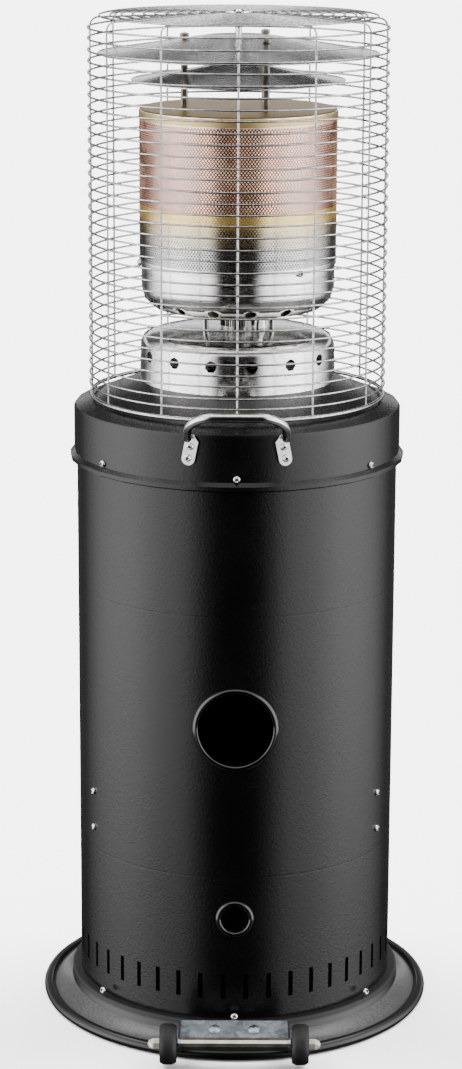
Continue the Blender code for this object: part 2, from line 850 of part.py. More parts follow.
# Guard: side rings and crown rings, each set welded to one bar at the back, and eleven uprights
# inside them that carry the rings from the foot ring up to the hub. A wire's few-sided section
# has the area of the round wire.
ring_reach = guard_wire * sqrt(pi / triangle_area) / 2
wire_half = guard_wire * sqrt(pi) / 4
upright_inset = ring_reach + gap + wire_half
foot_ring_radius = guard_radius - upright_inset / 2
foot_inner = (foot_ring_radius - guard_base_wire / 2) * cos(pi / guard_facets)
foot_ring_height = cone_height(foot_inner) + guard_base_wire / 2 + 2 * gap
side_top = guard_top - guard_crown - guard_corner
crown_radius = guard_radius - guard_corner


def crown_height(radius):
    """Height of the guard's slightly domed top at a radius."""
    return guard_top - guard_crown * (radius / crown_radius) ** 2


def ring_section(radius, height, normal, turn):
    """The three corners of a ring's wire: upper outer, lower outer, inner."""
    along = Vector((-normal.y, normal.x))
    middle = Vector((radius, height))
    half_side = ring_reach * sqrt(3) / 2
    corners = [
        middle + normal * ring_reach / 2 + along * half_side,
        middle + normal * ring_reach / 2 - along * half_side,
        middle - normal * ring_reach,
    ]
    return [spot(corner.x, turn, corner.y) for corner in corners]


def bridge(maker, first, second):
    """Walls between two rows of four corners."""
    for index in range(len(first)):
        after = (index + 1) % len(first)
        maker.faces.new((first[index], first[after], second[after], second[index]))


def corner_radius(radius, facets):
    """The radius of a faceted ring's corners that gives it the round ring's mean radius."""
    return radius * pi / facets / sin(pi / facets)


def guard_ring(maker, mean_radius, height, normal):
    """One ring, open towards its neighbours at the back bar; returns the two openings."""
    facets = guard_facets if mean_radius > coarse_ring_radius else coarse_facets
    radius = corner_radius(mean_radius, facets)
    back = facets // 2
    half_turn = wire_half / radius
    turns = [2 * pi * index / facets for index in range(back)]
    turns += [pi - half_turn, pi + half_turn]
    turns += [2 * pi * index / facets for index in range(back + 1, facets)]
    rows = []
    for turn in turns:
        rows.append([maker.verts.new(point) for point in ring_section(radius, height, normal, turn)])
    for index, row in enumerate(rows):
        after = rows[(index + 1) % len(rows)]
        upper, lower, inner = row
        next_upper, next_lower, next_inner = after
        maker.faces.new((upper, next_upper, next_lower, lower))
        if index != back:
            maker.faces.new((lower, next_lower, next_inner, inner))
            maker.faces.new((inner, next_inner, next_upper, upper))
    left, right = rows[back], rows[back + 1]
    return (left[1], right[1], right[2], left[2]), (left[0], right[0], right[2], left[2])


def bar_end(maker, radius, height):
    """The four corners where a back bar begins, below the ring above it."""
    half_turn = wire_half / radius
    outer, inner = radius + ring_reach / 2, radius - ring_reach
    corners = []
    for reach, turn in [(outer, -half_turn), (outer, half_turn), (inner, half_turn), (inner, -half_turn)]:
        corners.append(maker.verts.new(spot(reach, pi + turn, height)))
    maker.faces.new(corners)
    return corners


def ring_stack(maker, places, previous):
    """Rings joined by the back bar, from its lower end on; returns the last ring's upper opening."""
    for place in places:
        lower_opening, upper_opening = guard_ring(maker, *place)
        bridge(maker, previous, lower_opening)
        previous = upper_opening
    return previous


side_places = []
side_count = round((side_top - foot_ring_height) / guard_pitch)
for index in range(1, side_count + 1):
    height = foot_ring_height + (side_top - foot_ring_height) * index / side_count
    side_places.append((guard_radius, height, Vector((1, 0))))
rings = bmesh.new()
side_corner = corner_radius(guard_radius, guard_facets)
foot_end = bar_end(rings, side_corner, foot_ring_height + guard_base_wire / 2 + gap)
last_opening = ring_stack(rings, side_places, foot_end)
rings.faces.new(last_opening[::-1])
finish("guard_rings", rings, steel)

crown_places = []
top_count = round((crown_radius - guard_open_radius) / guard_top_pitch)
for index in range(top_count + 1):
    radius = crown_radius - (crown_radius - guard_open_radius) * index / top_count
    slope = 2 * guard_crown * radius / crown_radius**2
    crown_places.append((radius, crown_height(radius), Vector((slope, 1)).normalized()))
crown = bmesh.new()
crown_end = bar_end(crown, side_corner, side_top + ring_reach + gap)
last_opening = ring_stack(crown, crown_places, crown_end)
end_corners = []
for height, side in [(ring_reach / 2, -1), (ring_reach / 2, 1), (-ring_reach, 1), (-ring_reach, -1)]:
    end_corners.append(crown.verts.new((-side * wire_half, hub_radius, crown_height(hub_radius) + height)))
bridge(crown, last_opening, end_corners)
crown.faces.new(end_corners[::-1])
finish("guard_crown", crown, steel)

uprights = bmesh.new()
for index in range(upright_count):
    turn = 2 * pi * index / upright_count
    if index != upright_count // 2:
        between = abs(sin(turn * guard_facets / 2))
        reach = (side_corner - ring_reach) * (1 - between * (1 - cos(pi / guard_facets))) - gap - wire_half
        bend = guard_corner - upright_inset
        bend_start = acos(min(1, (reach - crown_radius) / bend))
        upright_path = [(reach, foot_ring_height)]
        upright_path += arc((crown_radius, side_top), bend, bend_start, pi / 2, shoulder_steps)
        upright_path.append((crown_radius / 2, crown_height(crown_radius / 2) - upright_inset))
        upright_path.append((hub_radius / 2, guard_top - upright_inset))
        path = [spot(radius, turn, height) for radius, height in upright_path]
        tube(uprights, path, wire_half * sqrt(2), wire_sides, spot(1, turn + pi / 2, 0))
guard_uprights = finish("guard_uprights", uprights, steel)
hub_bottom = guard_top - upright_inset - hub_thickness / 2
hub_top = hub_bottom + hub_thickness
hub_bore = clear(stud_core_radius, small_facets) + gap
hub_outline = [(hub_bore, hub_bottom), (hub_radius, hub_bottom), (hub_radius, hub_top), (hub_bore, hub_top)]
combine(guard_uprights, "UNION", "guard_hub", turned(hub_outline, small_facets))
foot_ring_outline = arc((foot_ring_radius, foot_ring_height), guard_base_wire / 2, 0, 2 * pi, nut_facets)[1:]
foot_ring = turned(foot_ring_outline, guard_facets)
combine(guard_uprights, "UNION", "guard_foot_ring", foot_ring)

nut_bottom = hub_top + gap
stud_top = nut_bottom + cap_nut_height - cap_nut_wall
stud_outline = [
    (0, apex - stud_stub), (stud_core_radius, apex - stud_stub), (stud_core_radius, apex + gap),
    (stud_radius, apex + gap), (stud_radius, hub_bottom - gap), (stud_core_radius, hub_bottom - gap),
    (stud_core_radius, stud_top - gap), (0, stud_top - gap),
]
finish("guard_stud", turned(stud_outline, tube_sides), steel)
nut_depth = cap_nut_height - cap_nut_wall
guard_nut = acorn(cap_nut_radius, cap_nut_height, stud_core_radius + gap, nut_depth)
finish("guard_nut", guard_nut, steel, (0, 0, nut_bottom))

# Wheels: a bracket over the flange, an axle in a spacer, and two wheels between cheek and nut
leaf_back = collar_radius + bracket_clear
leaf_top = collar_height + bracket_stand
leaf_front = wheel_reach - bracket_axle_stand


def flange_height(radius):
    """Height of the base's sloping flange at a radius."""
    share = (flange_outer - radius) / (flange_outer - collar_radius)
    return groove_height + (flange_rise - groove_height) * share


def sideways_place(reach, height, level):
    """A point ahead of the housing, at a place along the axle."""
    return Vector((level, -reach, height))


leaf_path = [
    (leaf_front, rim_height + gap), (leaf_front, leaf_top - bracket_leaf_drop), (leaf_back, leaf_top),
    (leaf_back, flange_height(leaf_back) + gap),
]
bracket = bmesh.new()
leaf_half = bracket_half_width - bracket_sheet / 2
prism(bracket, sheet(leaf_path, bracket_sheet), -leaf_half, leaf_half, sideways_place)
wheel_bracket = finish("wheel_bracket", bracket, zinc)
cheek_outline = [(leaf_back, leaf_top)]
cheek_outline += arc((wheel_reach, wheel_height), cheek_radius, pi / 2, -pi / 2, 2 * corner_steps)
cheek_outline.append((leaf_back, wheel_height - cheek_radius))
cheeks = bmesh.new()
for side in (-1, 1):
    outer = side * bracket_half_width
    prism(cheeks, cheek_outline, outer - side * bracket_sheet, outer, sideways_place)
combine(wheel_bracket, "UNION", "bracket_cheeks", cheeks)
axle_bore = bmesh.new()
bore_reach = bracket_half_width + cut_overrun
bore_radius = clear(axle_radius, small_facets) + gap
axle_line = [Vector((side * bore_reach, -wheel_reach, wheel_height)) for side in (-1, 1)]
rod(axle_bore, *axle_line, bore_radius, small_facets)
combine(wheel_bracket, "DIFFERENCE", "bracket_bore", axle_bore)

bolt_lean = Vector((0, -bracket_leaf_drop, leaf_front - leaf_back)).normalized()
bolt_turn = (bolt_lean.angle(upward), 0, 0)
bolt_outline = [
    (0, -bolt_length), (bolt_radius, -bolt_length), (bolt_radius, gap), (bolt_head_radius, gap),
    (bolt_head_radius * cos(pi / 6), bolt_head_height / 2), (bolt_head_radius / 2, bolt_head_height),
    (0, bolt_head_height),
]
bolt_places = []
for side, name in [(-1, "bracket_bolt_left"), (1, "bracket_bolt_right")]:
    bolt_height = leaf_top - bracket_leaf_drop / 2
    middle = Vector((side * bolt_half_spacing, -(leaf_back + leaf_front) / 2, bolt_height))
    bolt_places.append(middle)
    finish(name, turned(bolt_outline, tube_sides), zinc, middle, bolt_turn)


def bolt_bores():
    """Cutters along both bolts."""
    maker = bmesh.new()
    radius = clear(bolt_radius, small_facets) + gap
    for middle in bolt_places:
        start = middle - bolt_lean * (bolt_length + cut_overrun)
        rod(maker, start, middle + bolt_lean * cut_overrun, radius, small_facets)
    return maker


combine(wheel_bracket, "DIFFERENCE", "bracket_bolt_bores", bolt_bores())
combine(base_plate, "DIFFERENCE", "base_bolt_bores", bolt_bores())

along_x = (0, pi / 2, 0)
axle_middle = Vector((0, -wheel_reach, wheel_height))
axle = bmesh.new()
rod(axle, across * -axle_half_length, across * axle_half_length, axle_radius, small_facets)
finish("wheel_axle", axle, zinc, axle_middle)
spacer_half = bracket_half_width - bracket_sheet - gap
spacer_outline = [
    (bore_radius, -spacer_half), (spacer_radius, -spacer_half),
    (spacer_radius, spacer_half), (bore_radius, spacer_half),
]
finish("axle_spacer", turned(spacer_outline, small_facets), zinc, axle_middle, along_x)

wheel_bore = clear(axle_radius, wheel_facets) + turning_gap
wheel_half = wheel_width / 2
web_half = wheel_half - wheel_recess
tyre_inner = wheel_radius - wheel_tyre
wheel_side = [
    (wheel_bore, wheel_half), (wheel_hub_radius, wheel_half), ((wheel_hub_radius + tyre_inner) / 2, web_half),
    (tyre_inner, wheel_half), (wheel_radius - wheel_crown, wheel_half),
    (wheel_radius, wheel_half - 2 * wheel_crown),
]
wheel_outline = [(radius, -level) for radius, level in wheel_side] + wheel_side[::-1]
nut_start = wheel_half_track + wheel_half + 2 * gap
nut_length = axle_half_length + axle_nut_wall - nut_start
for side, name in [(-1, "left"), (1, "right")]:
    hub_place = axle_middle + across * side * wheel_half_track
    finish(f"wheel_{name}", turned(wheel_outline, wheel_facets), black_rubber, hub_place, along_x)
    nut = acorn(axle_nut_radius, nut_length, axle_radius + gap, nut_length - axle_nut_wall + gap)
    nut_place = axle_middle + across * side * nut_start
    finish(f"axle_nut_{name}", nut, zinc, nut_place, (0, side * pi / 2, 0))

# Door: a rolled leaf that closes the opening, on two lift-off hinges, with a pull and a catch
door_edge = door_half_angle - door_gap / body_radius
door = bmesh.new()
sector(
    door, body_radius - body_sheet, body_radius, pi - door_edge, pi + door_edge,
    door_bottom + door_gap, door_top - door_gap, door_steps,
)
finish("door", door, black_textured)

hinge_turn = pi - door_half_angle
leaf_inner = body_face
leaf_outer = leaf_inner + hinge_leaf
hinge_reach = leaf_outer + hinge_barrel_radius * barrel_stand_share
barrel_turn = (hinge_barrel_radius + gap) / hinge_reach
leaf_turn = hinge_leaf_width / hinge_reach
barrel_place = spot(hinge_reach, hinge_turn, 0)


def knuckle_solid(side, bottom, top):
    """A knuckle of the hinge with the tab that joins it to its leaf."""
    maker = bmesh.new()
    near = hinge_turn + side * 2 * barrel_turn
    sector(maker, leaf_inner + gap / 2, leaf_outer - gap / 2, hinge_turn, near, bottom + gap, top - gap, 1)
    return maker


def barrel(radius, bottom, top):
    """A cylinder on the hinge's pin."""
    maker = bmesh.new()
    rod(maker, barrel_place + upward * bottom, barrel_place + upward * top, radius, tube_sides)
    return maker


half_knuckle = hinge_knuckle / 2
half_hinge = 3 * half_knuckle
for name, height in [("upper", door_top - hinge_inset), ("lower", door_bottom + hinge_inset)]:
    place = (0, 0, height)
    moving = bmesh.new()
    near = hinge_turn + barrel_turn
    sector(moving, leaf_inner, leaf_outer, near, hinge_turn + leaf_turn, -half_hinge, half_hinge, 2)
    moving_leaf = finish(f"door_leaf_{name}", moving, steel, place)
    tab = knuckle_solid(1, -half_knuckle, half_knuckle)
    combine(moving_leaf, "UNION", f"door_tab_{name}", tab, place)
    knuckle = barrel(hinge_barrel_radius, -half_knuckle + gap, half_knuckle - gap)
    combine(moving_leaf, "UNION", f"door_knuckle_{name}", knuckle, place)
    pin_bore = barrel(clear(hinge_pin_radius, tube_sides) + turning_gap, -half_hinge, half_hinge)
    combine(moving_leaf, "DIFFERENCE", f"door_pin_bore_{name}", pin_bore, place)

    fixed = bmesh.new()
    near = hinge_turn - barrel_turn
    sector(fixed, leaf_inner, leaf_outer, hinge_turn - leaf_turn, near, -half_hinge, half_hinge, 2)
    fixed_leaf = finish(f"door_hinge_{name}", fixed, steel, place)
    for end, bottom, top in [("low", -half_hinge, -half_knuckle), ("high", half_knuckle, half_hinge)]:
        combine(fixed_leaf, "UNION", f"hinge_tab_{name}_{end}", knuckle_solid(-1, bottom, top), place)
        knuckle = barrel(hinge_barrel_radius, bottom + gap, top - gap)
        combine(fixed_leaf, "UNION", f"hinge_knuckle_{name}_{end}", knuckle, place)
    pin = barrel(hinge_pin_radius, -half_hinge + hinge_leaf, half_hinge - hinge_leaf)
    combine(fixed_leaf, "UNION", f"hinge_pin_{name}", pin, place)

pull_turn = pi + door_half_angle - pull_inset / body_radius
pull_outline = [
    (0, 0), (pull_stem_radius, 0), (pull_stem_radius, pull_length - pull_head),
    (pull_radius, pull_length - pull_head / 2), (pull_radius, pull_length - gap), (0, pull_length),
]
pull_place = spot(body_face, pull_turn, (door_bottom + door_top) / 2)
finish("door_pull", turned(pull_outline, small_facets), steel, pull_place, (pi / 2, 0, pull_turn))
catch_turn = pi + door_half_angle
catch_spread = catch_half_width / body_radius
catch = bmesh.new()
sector(
    catch, body_flat - catch_depth, body_flat, catch_turn - catch_spread, catch_turn + catch_spread,
    (door_bottom + door_top - catch_height) / 2, (door_bottom + door_top + catch_height) / 2, 1,
)
finish("door_catch", catch, black_plastic)

# Controls: a flat-faced panel cut to the housing's curve, a knob on a sprung spindle, and an igniter
panel_front = body_radius + panel_stand


def panel_place(first, second, level):
    """A point of an outline facing +Y, at a distance from the axis."""
    return Vector((first, level, panel_middle + second))


panel = bmesh.new()
full = rounded_box(panel_half_width, panel_height, panel_corner)
trim = 2 * panel_chamfer
inner = rounded_box(panel_half_width - panel_chamfer, panel_height - trim, panel_corner - panel_chamfer)
levels = [(full, panel_front - panel_depth), (full, panel_front - panel_chamfer), (inner, panel_front)]
skin(panel, [[panel_place(*point, level) for point in outline] for outline, level in levels])
control_panel = finish("control_panel", panel, black_plastic)
body_core = [(0, door_top), (body_face, door_top), (body_face, cap_bottom), (0, cap_bottom)]
combine(control_panel, "DIFFERENCE", "panel_back", turned(body_core, body_facets))

valve_front = sqrt(body_flat**2 - (knob_offset + valve_half_width) ** 2)
valve_back = valve_front - valve_depth
bore_front = panel_front + cut_overrun
boss_face = panel_front - gap
boss_hole = clear(valve_boss_radius, small_facets) + gap
igniter_hole = clear(igniter_radius, small_facets) + gap
for name, sideways, radius in [("valve", knob_offset, boss_hole), ("igniter", -button_offset, igniter_hole)]:
    for target in (body_shell, control_panel):
        bore = bmesh.new()
        bore_along_y(bore, sideways, panel_middle, radius, valve_back, bore_front, small_facets)
        combine(target, "DIFFERENCE", f"{target.name}_{name}_bore", bore)

valve = bmesh.new()
valve_box = [(-valve_half_width, -valve_height / 2), (valve_half_width, -valve_height / 2)]
valve_box += [(valve_half_width, valve_height / 2), (-valve_half_width, valve_height / 2)]
valve_corners = [(knob_offset + first, second) for first, second in valve_box]
prism(valve, valve_corners, valve_back, valve_front, panel_place)
gas_valve = finish("gas_valve", valve, brass)
boss = bmesh.new()
valve_core = (valve_back + valve_front) / 2
bore_along_y(boss, knob_offset, panel_middle, valve_boss_radius, valve_core, boss_face, small_facets)
combine(gas_valve, "UNION", "valve_boss", boss)
spindle_bore = bmesh.new()
spindle_inner = panel_front - spindle_depth
bore_end = spindle_inner - spindle_travel - turning_gap
spindle_clear = clear(spindle_radius, small_facets) + turning_gap
bore_along_y(spindle_bore, knob_offset, panel_middle, spindle_clear, bore_end, bore_front, small_facets)
combine(gas_valve, "DIFFERENCE", "spindle_bore", spindle_bore)

knob_back = panel_front + spindle_travel + 2 * gap
spindle_outer = knob_back + knob_socket - gap
spindle = bmesh.new()
spindle_place = Vector((knob_offset, spindle_inner, panel_middle))
rod(spindle, (0, 0, 0), (0, spindle_outer - spindle_inner, 0), spindle_radius, small_facets)
finish("valve_spindle", spindle, steel, spindle_place)

knob = bmesh.new()
knob_sections = []
for radius, flute, level in [
    (knob_radius, 0, 0), (knob_radius, 0, knob_base), (knob_grip_radius, knob_flute, knob_base),
    (knob_grip_radius - knob_taper, knob_flute, knob_length - knob_taper),
    (knob_grip_radius - 2 * knob_taper, knob_flute, knob_length),
]:
    ring = []
    for step in range(2 * knob_flutes):
        turn = pi * step / knob_flutes
        reach = radius - flute * (step % 2)
        ring.append(Vector((reach * cos(turn), reach * sin(turn), level)))
    knob_sections.append(ring)
skin(knob, knob_sections)
knob_place = (knob_offset, knob_back, panel_middle)
facing_out = (-pi / 2, 0, 0)
control_knob = finish("control_knob", knob, black_plastic, knob_place, facing_out)
socket = bmesh.new()
rod(socket, (0, 0, -cut_overrun), (0, 0, knob_socket), spindle_clear, small_facets)
combine(control_knob, "DIFFERENCE", "knob_socket", socket, knob_place, facing_out)

igniter_place = (-button_offset, panel_front, panel_middle)
button_bore = clear(button_radius, small_facets) + turning_gap
button_end = button_depth + button_travel + turning_gap
igniter_outline = [
    (0, -igniter_length), (igniter_radius, -igniter_length), (igniter_radius, gap),
    (button_collar_radius, gap),
    (button_collar_radius, button_collar_height), (button_bore, button_collar_height),
    (button_bore, -button_end), (0, -button_end),
]
finish("igniter", turned(igniter_outline, small_facets), steel, igniter_place, facing_out)
button_outline = [
    (0, -button_depth), (button_radius, -button_depth), (button_radius, button_stand - button_round),
    (button_radius - button_round, button_stand), (0, button_stand),
]
finish("igniter_button", turned(button_outline, small_facets), black_plastic, igniter_place, facing_out)

# Gas train: a hose nipple under the valve and a pipe from the valve up to the burner's neck
valve_middle = Vector((knob_offset, valve_core, panel_middle))
nipple_collar = nipple_radius + nipple_barb
nipple_outline = [
    (nipple_bore, 0), (nipple_collar, 0), (nipple_collar, nipple_length * nipple_collar_share),
    (nipple_radius, nipple_length * nipple_collar_share),
    (nipple_radius, nipple_length * nipple_barb_share), (nipple_collar, nipple_length * nipple_barb_share),
    (nipple_radius, nipple_length), (nipple_bore, nipple_length),
]
nipple_place = valve_middle - upward * (valve_height / 2 + gap)
finish("gas_inlet", turned(nipple_outline, tube_sides), brass, nipple_place, (pi, 0, 0))

pipe_start = valve_middle + upward * (valve_height / 2 + gap)
pipe_out = Vector((pipe_start.x, pipe_start.y, 0))
pipe_middle = Vector((0, 0, cap_shoulder_height + pipe_centre_rise))
pipe_path = [pipe_start, pipe_start + upward * pipe_rise, pipe_middle, Vector((0, 0, neck_bottom - gap))]
pipe = bmesh.new()
tube(pipe, fillet(pipe_path, pipe_bend), pipe_radius, tube_sides, pipe_out.cross(upward).normalized())
finish("gas_pipe", pipe, brass)

tilt_switch = bmesh.new()
switch_spread = tilt_switch_half_width / body_radius
switch_bottom = cap_bottom - tilt_switch_drop - tilt_switch_height / 2
sector(
    tilt_switch, body_flat - tilt_switch_depth, body_flat, tilt_switch_turn - switch_spread,
    tilt_switch_turn + switch_spread, switch_bottom, switch_bottom + tilt_switch_height, 1,
)
finish("tilt_switch", tilt_switch, black_plastic)

# Bottle space: a locating ring on the plateau and a strap between the side screws
ring_bottom = plateau_height + gap
ring_outline = [
    (bottle_ring_radius - bottle_ring_sheet, ring_bottom), (bottle_ring_radius, ring_bottom),
    (bottle_ring_radius, ring_bottom + bottle_ring_height),
    (bottle_ring_radius - bottle_ring_sheet, ring_bottom + bottle_ring_height),
]
finish("bottle_ring", turned(ring_outline, ring_facets), steel)

stay_spread = stay_foot_width / 2 / body_radius
stay_path = [spot(body_flat, stay_turn + stay_spread, 0), spot(body_flat, stay_turn, 0)]
stay_path += [spot(body_flat, stay_turn - stay_spread, 0)]
bow_turn = stay_turn - 2 * stay_spread
bow_steps = [bow_turn - 2 * bow_turn * step / small_facets for step in range(small_facets + 1)]
stay_path += [spot(stay_radius, turn, 0) for turn in bow_steps]
stay_path += [spot(body_flat, -stay_turn + side * stay_spread, 0) for side in (1, 0, -1)]
stay_line = [(point.x, point.y) for point in stay_path]
stay_bottom = stay_middle - stay_height / 2
stay_outline = sheet(stay_line, -stay_sheet)
stay = bmesh.new()
stay_levels = (stay_bottom, stay_bottom + stay_height)
skin(stay, [[(first, second, level) for first, second in stay_outline] for level in stay_levels])
finish("bottle_stay", stay, steel)
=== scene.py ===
import math

import bmesh
import bpy
from mathutils import Matrix, Vector
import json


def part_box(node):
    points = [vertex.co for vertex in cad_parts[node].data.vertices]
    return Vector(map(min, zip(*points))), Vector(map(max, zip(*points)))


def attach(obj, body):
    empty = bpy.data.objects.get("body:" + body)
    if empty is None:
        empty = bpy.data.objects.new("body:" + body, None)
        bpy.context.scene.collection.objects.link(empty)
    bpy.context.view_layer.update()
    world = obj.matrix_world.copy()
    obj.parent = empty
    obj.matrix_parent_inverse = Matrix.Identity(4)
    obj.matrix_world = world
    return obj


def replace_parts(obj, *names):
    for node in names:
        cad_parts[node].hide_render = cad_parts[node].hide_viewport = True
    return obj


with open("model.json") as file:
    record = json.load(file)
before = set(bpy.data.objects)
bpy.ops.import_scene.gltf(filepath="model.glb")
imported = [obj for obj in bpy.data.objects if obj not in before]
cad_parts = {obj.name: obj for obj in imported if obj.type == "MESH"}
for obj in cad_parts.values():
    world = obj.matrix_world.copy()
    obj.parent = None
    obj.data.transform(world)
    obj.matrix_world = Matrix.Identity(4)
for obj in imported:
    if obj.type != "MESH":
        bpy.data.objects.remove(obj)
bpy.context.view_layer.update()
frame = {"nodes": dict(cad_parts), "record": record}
nodes = frame["nodes"]
pi = math.pi
print("frame loaded,", len(nodes), "nodes")

low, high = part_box("burner_drum")
axisY = (low.y + high.y) / 2            # the housing's upright axis stands at x 0


# Node trees, for shaders and for geometry

class Value:
    # one output of a node; arithmetic on it adds the Math nodes
    def __init__(self, sheet, socket):
        self.sheet = sheet
        self.socket = socket

    def math(self, operation, *others):
        return self.sheet.add("ShaderNodeMath", {"operation": operation}, [self, *others])

    def beside(self, name):
        # another output of the same node
        return Value(self.sheet, self.socket.node.outputs[name])

    def __add__(self, other):
        return self.math("ADD", other)

    __radd__ = __add__

    def __sub__(self, other):
        return self.math("SUBTRACT", other)

    def __rsub__(self, other):
        return self.sheet.add("ShaderNodeMath", {"operation": "SUBTRACT"}, [other, self])

    def __mul__(self, other):
        return self.math("MULTIPLY", other)

    __rmul__ = __mul__

    def __truediv__(self, other):
        return self.math("DIVIDE", other)

    def __rtruediv__(self, other):
        return self.sheet.add("ShaderNodeMath", {"operation": "DIVIDE"}, [other, self])

    def __pow__(self, other):
        return self.math("POWER", other)

    def __neg__(self):
        return self.math("MULTIPLY", -1.0)


class Sheet:
    # one node tree being drawn up
    def __init__(self, tree):
        self.tree = tree

    def add(self, kind, settings=None, values=None, output=0):
        node = self.tree.nodes.new(kind)
        for name, setting in (settings or {}).items():
            setattr(node, name, setting)
        pairs = values.items() if isinstance(values, dict) else enumerate(values or [])
        for key, value in pairs:
            if isinstance(value, Value):
                self.tree.links.new(value.socket, node.inputs[key])
            elif value is not None:
                node.inputs[key].default_value = value
        return Value(self, node.outputs[output])

    def vector(self, x, y, z):
        return self.add("ShaderNodeCombineXYZ", None, [x, y, z])

    def blend(self, share, first, second):
        # a colour between two colours
        return self.add("ShaderNodeMix", {"data_type": "RGBA"}, {0: share, 6: first, 7: second}, 2)

    def between(self, value, low, high, start=0.0, end=1.0):
        # value from low to high made start to end, and held there beyond
        return self.add("ShaderNodeMapRange", {"interpolation_type": "SMOOTHSTEP"},
                        {0: value, 1: low, 2: high, 3: start, 4: end})


def shade(name, metallic=0.0, **constants):
    # a new material with its Principled shader; constants are set on the shader's own sockets
    material = bpy.data.materials.new(name)
    material.use_nodes = True
    sheet, shader = Sheet(material.node_tree), material.node_tree.nodes["Principled BSDF"]
    wire(sheet, shader, Metallic=metallic, **constants)
    return material, sheet, shader


def wire(sheet, shader, **links):
    # a node's output is linked to the socket, a plain value is set on it
    for key, value in links.items():
        socket = shader.inputs[key.replace("_", " ")]
        if isinstance(value, Value):
            sheet.tree.links.new(value.socket, socket)
        else:
            socket.default_value = value


def place(sheet, move=(0, 0, 0), stretch=(1, 1, 1)):
    # object coordinates, moved to a piece's own middle and stretched
    here = sheet.add("ShaderNodeTexCoord", output=3)
    return sheet.add("ShaderNodeMapping", None, {0: here, 1: move, 3: stretch})


def parts(sheet, vector):
    return [sheet.add("ShaderNodeSeparateXYZ", None, [vector], axis) for axis in range(3)]


def noise(sheet, vector, scale, detail=2.0, roughness=0.5):
    return sheet.add("ShaderNodeTexNoise", None,
                     {"Vector": vector, "Scale": scale, "Detail": detail, "Roughness": roughness})


def bump(sheet, height, distance):
    return sheet.add("ShaderNodeBump", None, {"Strength": 1.0, "Distance": distance, "Height": height})


# Finishes

# the two flange greys are the base flange's painted sheen, a painted reflection of the light above
paint = {"grain": 620, "orangePeel": 300, "black": (0.0014, 0.0014, 0.0016), "worn": (0.0030, 0.0029, 0.0029),
         "sheenPaintedDark": (0.045, 0.045, 0.045), "sheenPaintedLight": (0.085, 0.085, 0.084),
         "seams": (0.5631, 0.2258), "seamWidth": 0.0016, "seamDepth": 0.35,
         "flange": (0.2147, 0.2372), "flangeTop": 0.0225, "edge": 0.001,
         "collar": (0.027, 0.032), "collarRough": 0.35}


def blackPaint(name, roughness, grainDepth, edgeGloss=0.0, seams=(), flange=False):
    # textured black powder coat: fine grains over a slow orange peel, a little dust; on the base flange a painted
    # sheen, a lighter grey that stands for the reflection of the light above
    material, sheet, shader = shade(name, Coat_Weight=edgeGloss, Coat_Roughness=0.12, Specular_IOR_Level=0.34)
    here = place(sheet)
    grains = sheet.add("ShaderNodeTexVoronoi", {"feature": "SMOOTH_F1"},
                       {"Vector": here, "Scale": paint["grain"], "Smoothness": 0.6})
    peel = noise(sheet, here, paint["orangePeel"], 3.0, 0.6)
    dust = noise(sheet, here, 9.0, 4.0, 0.65)
    height = grains * -0.55 + peel * 0.9
    for level in seams:
        away = (parts(sheet, here)[2] - level).math("ABSOLUTE")
        height = height + sheet.between(away, 0.0, paint["seamWidth"], -paint["seamDepth"], 0.0)
    colour = sheet.blend(sheet.between(dust, 0.45, 0.75), (*paint["black"], 1), (*paint["worn"], 1))
    gloss = dust * 0.08 + peel * 0.06 + (roughness - 0.07)
    if flange:
        x, y, z = parts(sheet, place(sheet, (0, -axisY, 0)))
        reach = (x * x + y * y) ** 0.5
        (inner, outer), top, edge = paint["flange"], paint["flangeTop"], paint["edge"]
        sloping = sheet.between(reach, inner, inner + edge) * sheet.between(reach, outer, outer + edge, 1.0, 0.0)
        sloping = sloping * sheet.between(z, top, top + edge, 1.0, 0.0)
        # painted sheen: the sloping flange painted a grainy lighter grey, a painted reflection of the light above
        flangeSheenPainted = sheet.blend(sheet.between(peel, 0.3, 0.7), (*paint["sheenPaintedDark"], 1), (*paint["sheenPaintedLight"], 1))
        colour = sheet.blend(sloping, colour, flangeSheenPainted)
        gloss = gloss + sheet.between(z, *paint["collar"], 0.0, paint["collarRough"])
    wire(sheet, shader, Base_Color=colour, Roughness=gloss, Normal=bump(sheet, height, grainDepth))
    return material


def turnedLines(sheet, here, grain):
    # fine lines that run round the axis, on walls and on discs
    x, y, z = parts(sheet, here)
    reach = (x * x + y * y) ** 0.5
    across = sheet.vector((reach + z) * grain, x * 14.0, y * 14.0)      # fine across the lines, slow along them
    return noise(sheet, across, 1.0, 3.0, 0.7)


def roundMetal(name, light, dark, roughness, grain=900.0, streak=0.06, depth=0.00016, stains=0.0, paintedGlowColour=None):
    # sheet metal turned or brushed round the housing's axis; an optional colour adds an even emission, a painted glow
    material, sheet, shader = shade(name, metallic=1.0)
    here = place(sheet, (0, -axisY, 0))
    lines = turnedLines(sheet, here, grain)
    cloud = noise(sheet, here, 22.0, 4.0, 0.6)
    tone = sheet.between(lines * 0.6 + cloud * 0.4, 0.3, 0.7)
    colour = sheet.blend(tone, (*dark, 1), (*light, 1))
    if stains:
        marks = sheet.between(noise(sheet, here, 60.0, 5.0, 0.7), 0.55, 0.8, 0.0, stains)
        colour = sheet.blend(marks, colour, (dark[0] * 0.6, dark[1] * 0.5, dark[2] * 0.42, 1))
    wire(sheet, shader, Base_Color=colour, Roughness=lines * streak + cloud * 0.06 + (roughness - 0.07),
         Normal=bump(sheet, lines, depth))
    # painted glow: an even emission over the whole piece
    if paintedGlowColour:
        wire(sheet, shader, Emission_Color=(*paintedGlowColour, 1), Emission_Strength=1.0)
    return material


